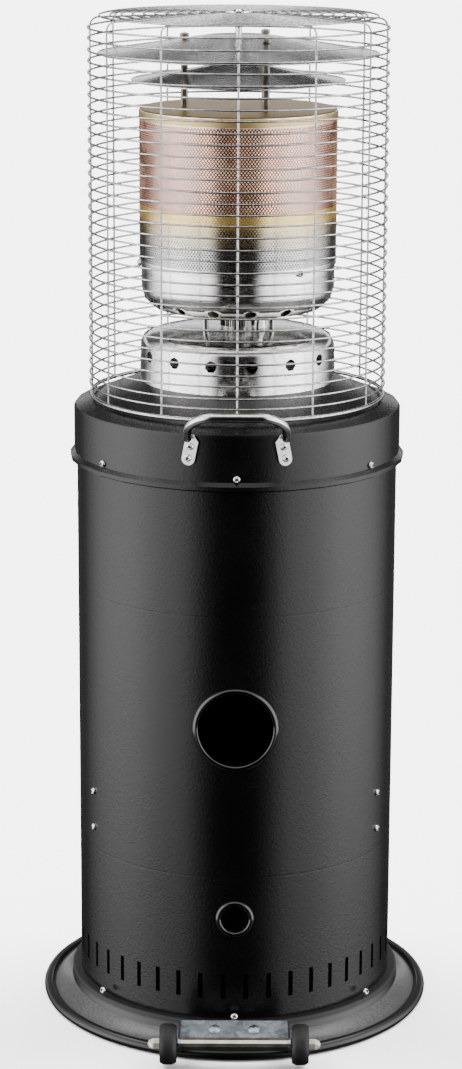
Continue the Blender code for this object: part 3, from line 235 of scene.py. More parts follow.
def plainMetal(name, light, dark, roughness, scale=120.0, depth=0.00002, metallic=1.0):
    # a small metal piece: soft clouds of tone and fine scuffs
    material, sheet, shader = shade(name, metallic=metallic)
    here = place(sheet)
    cloud = noise(sheet, here, scale, 4.0, 0.6)
    scuff = noise(sheet, place(sheet, (0, 0, 0), (1, 1, 6)), scale * 5, 2.0, 0.7)
    colour = sheet.blend(sheet.between(cloud, 0.35, 0.68), (*dark, 1), (*light, 1))
    wire(sheet, shader, Base_Color=colour, Roughness=cloud * 0.1 + scuff * 0.08 + (roughness - 0.09),
         Normal=bump(sheet, scuff, depth))
    return material


# heat tint colours of the screen; the glow colours are painted glow, emission that stands in for reflected light
heat = {"steel": (0.56, 0.56, 0.55), "steelDark": (0.45, 0.45, 0.44), "straw": (0.52, 0.36, 0.12),
        "copper": (0.25, 0.066, 0.026), "copperDeep": (0.17, 0.040, 0.016), "copperPaintedGlow": (0.06, 0.016, 0.005),
        "strawPaintedGlow": (0.23, 0.15, 0.035), "insidePaintedGlow": (0.62, 0.41, 0.27),
        "fade": 0.995, "stopLow": 1.0345, "stopHigh": 1.0455, "lid": 1.1505, "wall": 0.1229, "wallSheet": 0.0012}


def heatTintAndPaintedGlow(name):
    # the burner screen: steel at its foot, a straw band, then copper where it is hottest; over the straw band and the
    # copper lies a painted glow, emission that keeps their colour where the metal reflects dark
    material, sheet, shader = shade(name, metallic=1.0)
    here = place(sheet, (0, -axisY, 0))
    x, y, z = parts(sheet, here)
    lines = turnedLines(sheet, here, 700.0)
    cloud = noise(sheet, here, 30.0, 4.0, 0.6)
    height = z + (cloud - 0.5) * 0.004
    steel = sheet.blend(sheet.between(lines, 0.3, 0.7), (*heat["steelDark"], 1), (*heat["steel"], 1))
    copper = sheet.blend(sheet.between(cloud, 0.35, 0.65), (*heat["copperDeep"], 1), (*heat["copper"], 1))
    straw = sheet.between(height, heat["fade"], heat["stopLow"], 0.0, 0.7)
    low = sheet.blend(straw, steel, (*heat["straw"], 1))
    band = sheet.blend(sheet.between(height, heat["stopLow"] - 0.003, heat["stopLow"] + 0.001), low,
                       (*heat["straw"], 1))
    upperBand = sheet.between(height, heat["stopHigh"] - 0.0015, heat["stopHigh"] + 0.0015)
    colour = sheet.blend(upperBand, band, copper)
    # painted glow: a dim copper emission over the copper band, fading out under the lid
    paintedGlowMask = sheet.between(height, heat["stopHigh"] - 0.003, heat["stopHigh"] + 0.003)
    paintedGlowMask = paintedGlowMask * sheet.between(height, heat["lid"] - 0.002, heat["lid"] + 0.002, 1.0, 0.15)
    paintedGlow = sheet.blend(paintedGlowMask, (0.002, 0.001, 0.001, 1), (*heat["copperPaintedGlow"], 1))
    # painted glow: a straw emission over the gold band
    gold = sheet.between(height, heat["stopLow"] - 0.012, heat["stopLow"] + 0.001)
    gold = gold * sheet.between(height, heat["stopHigh"] - 0.001, heat["stopHigh"] + 0.001, 1.0, 0.0)
    paintedGlow = sheet.blend(gold, paintedGlow, (*heat["strawPaintedGlow"], 1))
    wire(sheet, shader, Base_Color=colour, Roughness=lines * 0.08 + cloud * 0.06 + 0.05,
         Emission_Color=paintedGlow, Emission_Strength=1.0, Normal=bump(sheet, lines, 0.0001))
    return material


def paintedShadeAndGlowInside(name):
    # what shows through the screen's holes: a second wall, painted shade at its foot, pale metal higher up and a
    # painted glow where the screen is copper; its inner face is painted dark
    material, sheet, shader = shade(name, metallic=1.0)
    here = place(sheet, (0, -axisY, 0))
    x, y, z = parts(sheet, here)
    cloud = noise(sheet, here, 40.0, 3.0, 0.6)
    level = z + (cloud - 0.5) * 0.01
    # painted glow: emission in patches, strongest high up, only on the wall's outer face
    patches = sheet.between(noise(sheet, here, 26.0, 2.0, 0.5), 0.4, 0.56, 0.25, 1.0)
    outside = sheet.between((x * x + y * y) ** 0.5, heat["wall"] - 0.0006, heat["wall"] - 0.0003)
    upperBand = sheet.between(level, heat["stopHigh"] - 0.002, heat["stopHigh"] + 0.004)
    straw = sheet.between(level, heat["fade"], heat["stopLow"])
    pale = sheet.blend(straw, (0.006, 0.005, 0.005, 1), (0.12, 0.08, 0.02, 1))
    paintedGlow = sheet.blend(upperBand, pale, (*heat["insidePaintedGlow"], 1))
    paintedGlow = sheet.blend(outside * patches, (0.004, 0.002, 0.001, 1), paintedGlow)
    tone = sheet.blend(straw, (0.07, 0.07, 0.07, 1), (0.85, 0.72, 0.42, 1))
    tone = sheet.blend(upperBand, tone, (0.98, 0.94, 0.9, 1))
    # painted shade: the wall's inner face near black
    tone = sheet.blend(outside, (0.03, 0.025, 0.022, 1), tone)
    wire(sheet, shader, Base_Color=tone, Roughness=cloud * 0.1 + 0.22, Emission_Color=paintedGlow, Emission_Strength=1.0)
    return material


def wheelRubber(name):
    # matt black moulded wheel: fine moulding grain and a scuffed tread
    material, sheet, shader = shade(name, Specular_IOR_Level=0.35)
    here = place(sheet)
    grain = noise(sheet, here, 900.0, 2.0, 0.6)
    scuffs = noise(sheet, here, 70.0, 5.0, 0.7)
    colour = sheet.blend(sheet.between(scuffs, 0.45, 0.75), (0.004, 0.004, 0.004, 1), (0.012, 0.0117, 0.0115, 1))
    wire(sheet, shader, Base_Color=colour, Roughness=scuffs * 0.15 + 0.5,
         Normal=bump(sheet, grain + scuffs, 0.0001))
    return material


def mouldedBlack(name, roughness):
    material, sheet, shader = shade(name)
    here = place(sheet)
    spark = noise(sheet, here, 1400.0, 2.0, 0.6)
    cloud = noise(sheet, here, 40.0, 3.0, 0.6)
    colour = sheet.blend(cloud, (0.005, 0.005, 0.006, 1), (0.011, 0.011, 0.012, 1))
    wire(sheet, shader, Base_Color=colour, Roughness=cloud * 0.1 + roughness, Normal=bump(sheet, spark, 0.00005))
    return material


def zincPlate(name):
    # bright zinc: blue grey spangles with a few whitish marks
    material, sheet, shader = shade(name, metallic=1.0)
    here = place(sheet)
    spangle = sheet.add("ShaderNodeTexVoronoi", {"feature": "F1"}, {"Vector": here, "Scale": 210.0}, 1)
    tone = sheet.add("ShaderNodeSeparateColor", None, [spangle], 0)
    cloud = noise(sheet, here, 70.0, 5.0, 0.65)
    colour = sheet.blend(tone * 0.5 + cloud * 0.5, (0.20, 0.235, 0.26, 1), (0.40, 0.44, 0.465, 1))
    wire(sheet, shader, Base_Color=colour, Roughness=tone * 0.1 + cloud * 0.2 + 0.2,
         Normal=bump(sheet, cloud, 0.00008))
    return material


def whiteCeramic(name):
    material, sheet, shader = shade(name)
    cloud = noise(sheet, place(sheet), 300.0, 3.0, 0.6)
    colour = sheet.blend(cloud, (0.62, 0.6, 0.55, 1), (0.8, 0.79, 0.75, 1))
    wire(sheet, shader, Base_Color=colour, Roughness=cloud * 0.1 + 0.3, Normal=bump(sheet, cloud, 0.00003))
    return material


housingBlack = blackPaint("housing_black", 0.27, 0.00016, seams=paint["seams"])
baseGloss = blackPaint("base_gloss", 0.3, 0.00012, 0.15, flange=True)
grommetGloss = blackPaint("grommet_gloss", 0.16, 0.00001, 0.5)
brushedSteel = roundMetal("brushed_steel", (0.90, 0.895, 0.88), (0.72, 0.715, 0.70), 0.10, depth=0.0001)
# the lid's emission is a painted glow, painted light that lifts its dark middle
lidSteel = roundMetal("lid_steel", (0.56, 0.41, 0.18), (0.40, 0.29, 0.12), 0.34, stains=0.3,
                      paintedGlowColour=(0.09, 0.064, 0.03))
# the screen sheet carries a painted glow; the wall behind its holes carries painted shade and a painted glow
screenSteel = heatTintAndPaintedGlow("screen_steel")
screenInside = paintedShadeAndGlowInside("screen_inside")
reflectorSteel = roundMetal("reflector_aluminium", (0.86, 0.86, 0.86), (0.66, 0.66, 0.66), 0.14, 600.0,
                            depth=0.0002)
chromeWire = plainMetal("guard_chrome", (0.50, 0.50, 0.49), (0.30, 0.30, 0.30), 0.16, 260.0)
handleMetal = plainMetal("handle_steel", (0.72, 0.72, 0.71), (0.55, 0.55, 0.54), 0.2, 160.0)
postMetal = plainMetal("post_steel", (0.50, 0.46, 0.40), (0.30, 0.26, 0.22), 0.34, 160.0)
screwSteel = plainMetal("screw_steel", (0.80, 0.79, 0.77), (0.6, 0.59, 0.57), 0.14, 400.0, 0.000002)
nutZinc = plainMetal("nut_zinc", (0.62, 0.60, 0.52), (0.46, 0.44, 0.36), 0.42, 200.0, metallic=0.45)
neckSteel = roundMetal("neck_steel", (0.40, 0.40, 0.39), (0.26, 0.26, 0.25), 0.22)
bowlPostSteel = plainMetal("bowl_post_steel", (0.46, 0.46, 0.45), (0.30, 0.30, 0.29), 0.26, 160.0)
brass = plainMetal("valve_brass", (0.78, 0.56, 0.25), (0.55, 0.38, 0.15), 0.28)
zinc = zincPlate("zinc_plate")
oliveTube = plainMetal("spacer_tube", (0.50, 0.48, 0.42), (0.38, 0.36, 0.30), 0.3, 60.0, 0.000002)
rubber = wheelRubber("wheel_black")
knobBlack = mouldedBlack("plastic_black", 0.34)
# painted shade for the screw recesses
recessShade = mouldedBlack("screw_recess_shade", 0.6)
ceramic = whiteCeramic("ceramic")
print("finishes mixed")


# Carried over CAD nodes: a merged copy with smooth normals stands for each

bodyOf = {name: body for body, members in frame["record"]["behaviour"]["bodies"].items() for name in members}
roundness = {"merge": 0.000002, "level": 0.02, "offAxis": 0.12, "axis": 0.0005}     # when a facet follows the curve


def stand(name, data):
    # an object for a mesh, a light or a camera
    thing = bpy.data.objects.new(name, data)
    bpy.context.collection.objects.link(thing)
    return thing


def dress(name, material, around=True, limit=50.0):
    # around: the normals follow the true curve about the housing's axis, not the flat facets
    mesh = nodes[name].data.copy()
    mesh.name = name + "_dressed"
    builder = bmesh.new()
    builder.from_mesh(mesh)
    bmesh.ops.remove_doubles(builder, verts=builder.verts, dist=roundness["merge"])
    builder.to_mesh(mesh)
    builder.free()
    mesh.materials.clear()
    mesh.materials.append(material)
    for polygon in mesh.polygons:
        polygon.use_smooth = True
        polygon.material_index = 0
    piece = stand(name + "_dressed", mesh)
    if around:
        trueNormals(mesh, math.radians(limit))
    else:
        mesh.set_sharp_from_angle(angle=math.radians(limit))
    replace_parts(piece, name)
    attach(piece, bodyOf[name])


def trueNormals(mesh, limit):
    # every corner's normal: the faces round its vertex, each turned to the vertex's own bearing
    faces = mesh.polygons
    swings = []
    for face in faces:
        normal, middle = face.normal, face.center
        flat = math.hypot(normal.x, normal.y)
        swing = None
        if flat > roundness["level"]:
            bearing = math.atan2(normal.y, normal.x)
            own = math.atan2(middle.y - axisY, middle.x)
            turn = (bearing - own + pi) % (2 * pi) - pi
            if abs(turn) < roundness["offAxis"]:
                swing = (flat, normal.z)
            elif abs(abs(turn) - pi) < roundness["offAxis"]:
                swing = (-flat, normal.z)
        swings.append(swing)
    touching = [[] for _ in mesh.vertices]
    for face in faces:
        corners = list(face.vertices)
        for index, vertex in enumerate(corners):
            before = mesh.vertices[corners[index - 1]].co
            after = mesh.vertices[corners[(index + 1) % len(corners)]].co
            here = mesh.vertices[vertex].co
            touching[vertex].append((face.index, (before - here).angle(after - here, 0.0) * face.area))
    normals = []
    for face in faces:
        for vertex in face.vertices:
            spot = mesh.vertices[vertex].co
            out = Vector((spot.x, spot.y - axisY, 0))
            out = out.normalized() if out.length > roundness["axis"] else None
            total = Vector()
            for other, share in touching[vertex]:
                if faces[other].normal.angle(face.normal, 0.0) < limit:
                    swing = swings[other]
                    if swing and out:
                        total += share * Vector((out.x * swing[0], out.y * swing[0], swing[1]))
                    else:
                        total += share * faces[other].normal
            normals.append(total.normalized() if total.length else face.normal)
    mesh.normals_split_custom_set(normals)


turned = {
    "body_shell": housingBlack, "cap": housingBlack, "door": housingBlack, "burner_drum": brushedSteel,
    "burner_bowl": brushedSteel, "burner_neck": neckSteel, "screen_lid": lidSteel,
    "reflector_lower": reflectorSteel, "reflector_upper": reflectorSteel, "guard_stud": screwSteel,
    "bottle_ring": housingBlack, "bottle_stay": zinc,
}
plain = {
    "wheel_bracket": zinc, "axle_spacer": oliveTube, "wheel_axle": zinc, "wheel_left": rubber,
    "wheel_right": rubber, "axle_nut_left": nutZinc, "axle_nut_right": nutZinc,
    "bracket_bolt_left": zinc, "bracket_bolt_right": zinc, "guard_nut": screwSteel,
    "control_panel": knobBlack, "control_knob": knobBlack, "igniter": chromeWire, "igniter_button": knobBlack,
    "door_hinge_upper": zinc, "door_hinge_lower": zinc, "door_leaf_upper": zinc, "door_leaf_lower": zinc,
    "door_pull": handleMetal, "door_catch": zinc, "gas_valve": brass, "gas_inlet": brass, "gas_pipe": zinc,
    "valve_spindle": brass, "pilot_burner": brushedSteel, "electrode": ceramic, "tilt_switch": knobBlack,
    "reflector_post_1": postMetal, "reflector_post_2": postMetal, "reflector_post_3": postMetal,
    "bowl_post_1": bowlPostSteel, "bowl_post_2": bowlPostSteel, "bowl_post_3": bowlPostSteel,
}
creases = {"wheel_bracket": 8.0, "control_panel": 20.0, "cap": 35.0}     # edges sharper than this stay sharp
for name, material in turned.items():
    dress(name, material, limit=creases.get(name, 50.0))
for name, material in plain.items():
    dress(name, material, around=False, limit=creases.get(name, 32.0))
left = [name for name in nodes if name not in turned and name not in plain]
print("CAD nodes dressed, left for scene pieces:", left)


# Geometry Nodes

def geometryTree(name, **sizes):
    # a tree with a Geometry input and one named number for each size
    tree = bpy.data.node_groups.new(name, "GeometryNodeTree")
    for way in ("INPUT", "OUTPUT"):
        tree.interface.new_socket("Geometry", in_out=way, socket_type="NodeSocketGeometry")
    for label, value in sizes.items():
        kind = "NodeSocketInt" if isinstance(value, int) else "NodeSocketFloat"
        tree.interface.new_socket(label, in_out="INPUT", socket_type=kind)
    sheet = Sheet(tree)
    entry = tree.nodes.new("NodeGroupInput")
    given = {label: Value(sheet, entry.outputs[label]) for label in ("Geometry", *sizes)}
    return tree, sheet, given


def finishTree(sheet, geometry, material):
    # the copies made real and given their finish
    real = sheet.add("GeometryNodeRealizeInstances", None, [geometry])
    smooth = sheet.add("GeometryNodeSetShadeSmooth", None, [real])
    done = sheet.add("GeometryNodeSetMaterial", None, {"Geometry": smooth, "Material": material})
    outlet = sheet.tree.nodes.new("NodeGroupOutput")
    sheet.tree.links.new(done.socket, outlet.inputs[0])


def keep(name, mesh, body):
    # a finished mesh as a piece that rides on a body
    piece = stand(name, mesh)
    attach(piece, body)
    return piece


def build(name, tree, sizes, body, start=None):
    # run the tree once on its start mesh and keep the plain mesh that comes out
    seed = stand(name + "_seed", start or bpy.data.meshes.new(name + "_start"))
    modifier = seed.modifiers.new("Shape", "NODES")
    modifier.node_group = tree
    for item in tree.interface.items_tree:
        if item.item_type == "SOCKET" and item.in_out == "INPUT" and item.name in sizes:
            modifier[item.identifier] = sizes[item.name]
    graph = bpy.context.evaluated_depsgraph_get()
    graph.update()
    made = bpy.data.meshes.new_from_object(seed.evaluated_get(graph))
    made.name = name
    bpy.data.objects.remove(seed)
    print(name, len(made.polygons), "faces")
    return keep(name, made, body)


def swept(sheet, curve, radius, sides):
    profile = sheet.add("GeometryNodeCurvePrimitiveCircle", {"mode": "RADIUS"},
                        {"Resolution": sides, "Radius": radius})
    return sheet.add("GeometryNodeCurveToMesh", None, {"Curve": curve, "Profile Curve": profile, "Fill Caps": True})


# Guard: bright wires, rings round the outside and uprights inside them

guard = {"radius": 0.186, "wire": 0.0026, "footWire": 0.005, "footHeight": 0.8045, "pitchCount": 33,
         "corner": 0.014, "crown": 0.0035, "top": 1.2789, "openRadius": 0.0345, "topRings": 11, "uprights": 12,
         "bendSteps": 8, "unevenness": 0.004, "hubRadius": 0.011, "hubHole": 0.0047, "hubSheet": 0.0025}


def ringTree(name, material):
    # rings strung on a line of points; each point carries its ring's radius
    tree, sheet, given = geometryTree(name, Wire=0.1, Smoothness=8, Unevenness=0.1)
    ring = sheet.add("GeometryNodeCurvePrimitiveCircle", {"mode": "RADIUS"}, {"Resolution": given["Smoothness"] * 16})
    size = sheet.add("GeometryNodeInputNamedAttribute", {"data_type": "FLOAT"}, ["reach"])
    scale = sheet.vector(size, size, 1.0)
    most = sheet.vector(given["Unevenness"], given["Unevenness"], 0.0)
    least = sheet.vector(-given["Unevenness"], -given["Unevenness"], 0.0)
    tilt = sheet.add("FunctionNodeRandomValue", {"data_type": "FLOAT_VECTOR"}, {0: least, 1: most, "Seed": 5})
    strung = sheet.add("GeometryNodeInstanceOnPoints", None,
                       {"Points": given["Geometry"], "Instance": ring, "Rotation": tilt, "Scale": scale})
    real = sheet.add("GeometryNodeRealizeInstances", None, [strung])
    finishTree(sheet, swept(sheet, real, given["Wire"], 7), material)
    return tree


def lineMesh(name, points):
    mesh = bpy.data.meshes.new(name)
    mesh.from_pydata(points, [(index, index + 1) for index in range(len(points) - 1)], [])
    return mesh


def pointMesh(name, points, reaches):
    mesh = bpy.data.meshes.new(name)
    mesh.from_pydata(points, [], [])
    reach = mesh.attributes.new("reach", "FLOAT", "POINT")
    for index, value in enumerate(reaches):
        reach.data[index].value = value
    return mesh


sideTop = guard["top"] - guard["crown"] - guard["corner"]
crownRadius = guard["radius"] - guard["corner"]


def crownHeight(radius):
    return guard["top"] - guard["crown"] * (radius / crownRadius) ** 2


places, reaches = [], []
for index in range(1, guard["pitchCount"] + 1):
    places.append((0, axisY, guard["footHeight"] + (sideTop - guard["footHeight"]) * index / guard["pitchCount"]))
    reaches.append(guard["radius"])
wireRings = ringTree("guard rings", chromeWire)
guardRings = build("guardRings", wireRings,
                   {"Wire": guard["wire"] / 2, "Smoothness": 8, "Unevenness": guard["unevenness"]}, "heater",
                   pointMesh("ringPlaces", places, reaches))
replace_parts(guardRings, "guard_rings")
places, reaches = [], []
for index in range(guard["topRings"]):
    radius = crownRadius - (crownRadius - guard["openRadius"]) * index / (guard["topRings"] - 1)
    places.append((0, axisY, crownHeight(radius)))
    reaches.append(radius)
crownRings = build("crownRings", wireRings, {"Wire": guard["wire"] / 2, "Smoothness": 8}, "heater",
                   pointMesh("crownPlaces", places, reaches))
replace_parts(crownRings, "guard_crown")


def uprightTree(name, material):
    # one bent wire, turned round the guard's axis
    tree, sheet, given = geometryTree(name, Count=12, Wire=0.1, Axis=0.0)
    wireMesh = sheet.add("GeometryNodeMeshToCurve", None, [given["Geometry"]])
    one = swept(sheet, wireMesh, given["Wire"], 8)
    points = sheet.add("GeometryNodePoints", None, {"Count": given["Count"]})
    index = sheet.add("GeometryNodeInputIndex")
    turn = sheet.vector(0.0, 0.0, index * (2 * pi) / given["Count"])
    spread = sheet.add("GeometryNodeInstanceOnPoints", None,
                       {"Points": points, "Instance": one, "Rotation": turn})
    move = sheet.vector(0.0, given["Axis"], 0.0)
    moved = sheet.add("GeometryNodeTransform", None, {"Geometry": spread, "Translation": move})
    finishTree(sheet, moved, material)
    return tree


inner = guard["radius"] - guard["wire"]
bend = guard["corner"] - guard["wire"]
path = [(0, -inner, guard["footHeight"]), (0, -inner, (guard["footHeight"] + sideTop) / 2)]
for step in range(guard["bendSteps"] + 1):
    turn = pi / 2 * step / guard["bendSteps"]
    path.append((0, -(crownRadius + bend * math.cos(turn)), sideTop + bend * math.sin(turn)))
for share in (0.75, 0.5, 0.25, 0.05):
    path.append((0, -crownRadius * share, crownHeight(crownRadius * share) - guard["wire"]))
uprights = build("guardUprights", uprightTree("guard uprights", chromeWire),
                 {"Count": guard["uprights"], "Wire": guard["wire"] / 2, "Axis": axisY},
                 "heater", lineMesh("uprightPath", path))
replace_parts(uprights, "guard_uprights")
build("guardFoot", ringTree("guard foot", chromeWire), {"Wire": guard["footWire"] / 2, "Smoothness": 8},
      "heater",
      pointMesh("footPlace", [(0, axisY, guard["footHeight"])], [guard["radius"] - guard["wire"] / 2]))


def skin(name, rows, material, body, closed=False):
    # rows of points skinned into one closed mesh; open rows get end faces
    builder = bmesh.new()
    rings = [[builder.verts.new(point) for point in row] for row in rows]
    for index in range(len(rings) if closed else len(rings) - 1):
        row, after = rings[index], rings[(index + 1) % len(rings)]
        for corner in range(len(row)):
            follow = (corner + 1) % len(row)
            builder.faces.new((row[corner], after[corner], after[follow], row[follow]))
    if not closed:
        builder.faces.new(rings[0])
        builder.faces.new(rings[-1][::-1])
    bmesh.ops.remove_doubles(builder, verts=builder.verts, dist=0.000001)
    bmesh.ops.recalc_face_normals(builder, faces=builder.faces)
    mesh = bpy.data.meshes.new(name)
    builder.to_mesh(mesh)
    builder.free()
    mesh.materials.append(material)
    for polygon in mesh.polygons:
        polygon.use_smooth = True
    mesh.set_sharp_from_angle(angle=math.radians(40))
    return keep(name, mesh, body)


def lathe(name, outline, material, body, sides=48):
    # a closed outline of (radius, height) turned about the housing's axis
    turns = [2 * pi * index / sides for index in range(sides)]
    rows = [[(radius * math.sin(turn), axisY - radius * math.cos(turn), height) for radius, height in outline]
            for turn in turns]
    return skin(name, rows, material, body, closed=True)


def band(inner, outer, low, high):
    # the outline of a plain ring
    return [(inner, low), (outer, low), (outer, high), (inner, high)]


# Base: a rolled rim, a groove, a sloping flange, and the collar that the housing stands on

base = {"radius": 0.2525, "roll": 0.0065, "rimWidth": 0.011, "groove": 0.009, "grooveWidth": 0.004,
        "collar": 0.2145, "flangeTop": 0.021, "collarTop": 0.0365, "corner": 0.003, "spigot": 0.2013,
        "plateau": 0.052, "pad": 0.0015, "padMargin": 0.007, "sheet": 0.0018, "rimSteps": 12, "cornerSteps": 5}
rimInner = base["radius"] - base["rimWidth"]
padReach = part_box("bottle_ring")[1].x - base["padMargin"]
rollMiddle = base["radius"] - base["roll"]
pan = [(rimInner, 0)]
pan += [(rollMiddle + base["roll"] * math.sin(turn), base["roll"] * (1 - math.cos(turn)))
        for turn in [pi * step / base["rimSteps"] for step in range(base["rimSteps"] + 1)]]
pan += [(rimInner + 0.0012, base["roll"] * 2), (rimInner + 0.0003, base["roll"] * 2 - 0.0008),
        (rimInner, base["groove"]), (rimInner - base["grooveWidth"], base["groove"]),
        (base["collar"] + 0.001, base["flangeTop"] - 0.0002), (base["collar"], base["flangeTop"] + 0.001)]
pan += [(base["collar"] - base["corner"] * (1 - math.cos(turn)),
         base["collarTop"] - base["corner"] * (1 - math.sin(turn)))
        for turn in [pi / 2 * step / base["cornerSteps"] for step in range(base["cornerSteps"] + 1)]]
pan += [(base["spigot"], base["collarTop"]), (base["spigot"], base["plateau"]), (padReach, base["plateau"]),
        (padReach, base["plateau"] + base["pad"]), (0, base["plateau"] + base["pad"]),
        (0, base["plateau"] - base["sheet"]), (base["spigot"] - base["sheet"], base["plateau"] - base["sheet"]),
        (base["spigot"] - base["sheet"], base["collarTop"] - base["sheet"]),
        (base["collar"] - base["sheet"], base["collarTop"] - base["sheet"]),
        (base["collar"] - base["sheet"], base["flangeTop"] - base["sheet"]),
        (rimInner, base["groove"] - base["sheet"])]
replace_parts(lathe("basePan", pan, baseGloss, "heater", 144), "base_plate")
print("base turned")


# the hub, a washer under the uprights' ends
hubLow = guard["top"] - guard["wire"] - guard["hubSheet"] / 2
lathe("guardHub", band(guard["hubHole"], guard["hubRadius"], hubLow, hubLow + guard["hubSheet"]), chromeWire,
      "heater")
print("guard wired")


# Carry handle: a bent bar on two plates that lean inwards on the cap's skirt

handle = {"bar": 0.0051, "half": 0.0595, "grip": (-0.2470, 0.822), "root": (-0.2150, 0.7930), "bow": 0.034,
          "bowSteps": 14, "tuck": (0.0058, 0.0048), "tuckEnd": (0.0030, 0.0022), "foot": 0.0172,
          "footLength": 0.0385, "footLow": 0.7536, "footLean": 11.0, "footSheet": 0.0034, "footShift": 0.0008,
          "footCut": (0.007, 0.004), "footEdge": 0.94, "skirt": 0.2073}


def barTree(name, material):
    tree, sheet, given = geometryTree(name, Bar=0.1)
    line = sheet.add("GeometryNodeMeshToCurve", None, [given["Geometry"]])
    finishTree(sheet, swept(sheet, line, given["Bar"], 18), material)
    return tree


def handlePath():
    # from the left plate up the leaning arm, round the bow, across and down again
    root, grip = Vector((0, *handle["root"])), Vector((0, *handle["grip"]))
    along = (grip - root).normalized()
    across = Vector((1, 0, 0))
    half = [root + Vector((0, back, -down)) for back, down in (handle["tuck"], handle["tuckEnd"])]
    half.append(root + along * 0.001)
    half = [point + across * handle["half"] for point in half]
    middle = grip + across * (handle["half"] - handle["bow"]) - along * handle["bow"]
    for step in range(handle["bowSteps"] + 1):
        turn = pi / 2 * step / handle["bowSteps"]
        half.append(middle + (across * math.cos(turn) + along * math.sin(turn)) * handle["bow"])
    points = [Vector((-point.x, point.y, point.z)) for point in half] + half[::-1]
    return [(point.x, point.y + axisY, point.z) for point in points]


handleBar = build("handleBar", barTree("bent bar", handleMetal), {"Bar": handle["bar"]},
                  "heater", lineMesh("handlePath", handlePath()))
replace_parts(handleBar, "carry_handle")


def handlePlate(name, side):
    # a strip with a round lower end and a cut inner corner, bent to the skirt
    half, length = handle["foot"] / 2, handle["footLength"]
    outline = [(half * math.cos(turn), half * (1 + math.sin(turn))) for turn in
               [pi + pi * step / 12 for step in range(13)]]
    low, high = handle["footCut"]
    outline += [(half, length - low), (half * 0.55, length - high), (half * 0.1, length), (-half, length)]
    lean = math.radians(handle["footLean"])
    rows = []
    for out in (0.0, handle["footSheet"] * 0.8, handle["footSheet"]):
        shrink = handle["footEdge"] if out == handle["footSheet"] else 1.0
        row = []
        for u, v in outline:
            u, v = u * shrink, length / 2 + (v - length / 2) * (1 - (1 - shrink) / 3)
            sideways = handle["half"] - (u * math.cos(lean) + v * math.sin(lean)) + handle["footShift"]
            turn = sideways / handle["skirt"]
            reach = handle["skirt"] + out
            row.append((side * reach * math.sin(turn), axisY - reach * math.cos(turn),
                        handle["footLow"] + v * math.cos(lean) - u * math.sin(lean)))
        rows.append(row)
    return skin(name, rows, handleMetal, "heater")


for side, name in ((-1, "handlePlateLeft"), (1, "handlePlateRight")):
    handlePlate(name, side)


# Port rings: rounded lips that follow the round wall

ports = {"wall": 0.2035, "lip": 0.0034, "inside": 0.007, "behind": 0.0015, "sheet": 0.0012, "steps": 72,
         "large": (0.4192, 0.0462, 0.0535), "small": (0.1709, 0.0170, 0.0242)}     # height, inner and outer radius


def portRing(name, height, inner, outer):
    middle, half = (inner + outer) / 2, (outer - inner) / 2
    profile = [(middle + half * math.cos(turn), ports["lip"] * math.sin(turn))
               for turn in [pi * step / 8 for step in range(9)]]
    profile += [(inner, -ports["inside"]), (inner + ports["sheet"], -ports["inside"]),
                (inner + ports["sheet"], -ports["behind"]), (outer, -ports["behind"])]
    rows = []
    for step in range(ports["steps"]):
        turn = 2 * pi * step / ports["steps"]
        row = []
        for reach, out in profile:
            x = reach * math.sin(turn)
            row.append((x, axisY - math.sqrt((ports["wall"] + out) ** 2 - x * x), height + reach * math.cos(turn)))
        rows.append(row)
    return skin(name, rows, grommetGloss, "heater", closed=True)


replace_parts(portRing("largeRing", *ports["large"]), "port_grommet_large")
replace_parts(portRing("smallRing", *ports["small"]), "port_grommet_small")
print("handle and port rings made")


# Burner screen: a perforated sheet just proud of an inner wall with painted shade and a painted glow

screen = {"radius": 0.1232, "bottom": 0.9755, "top": 1.1495, "columns": 186, "rowHeight": 0.00272,
          "hole": 0.00124, "footInner": 0.1226, "footOuter": 0.1234, "footLow": 0.9705, "footHigh": 0.9762}


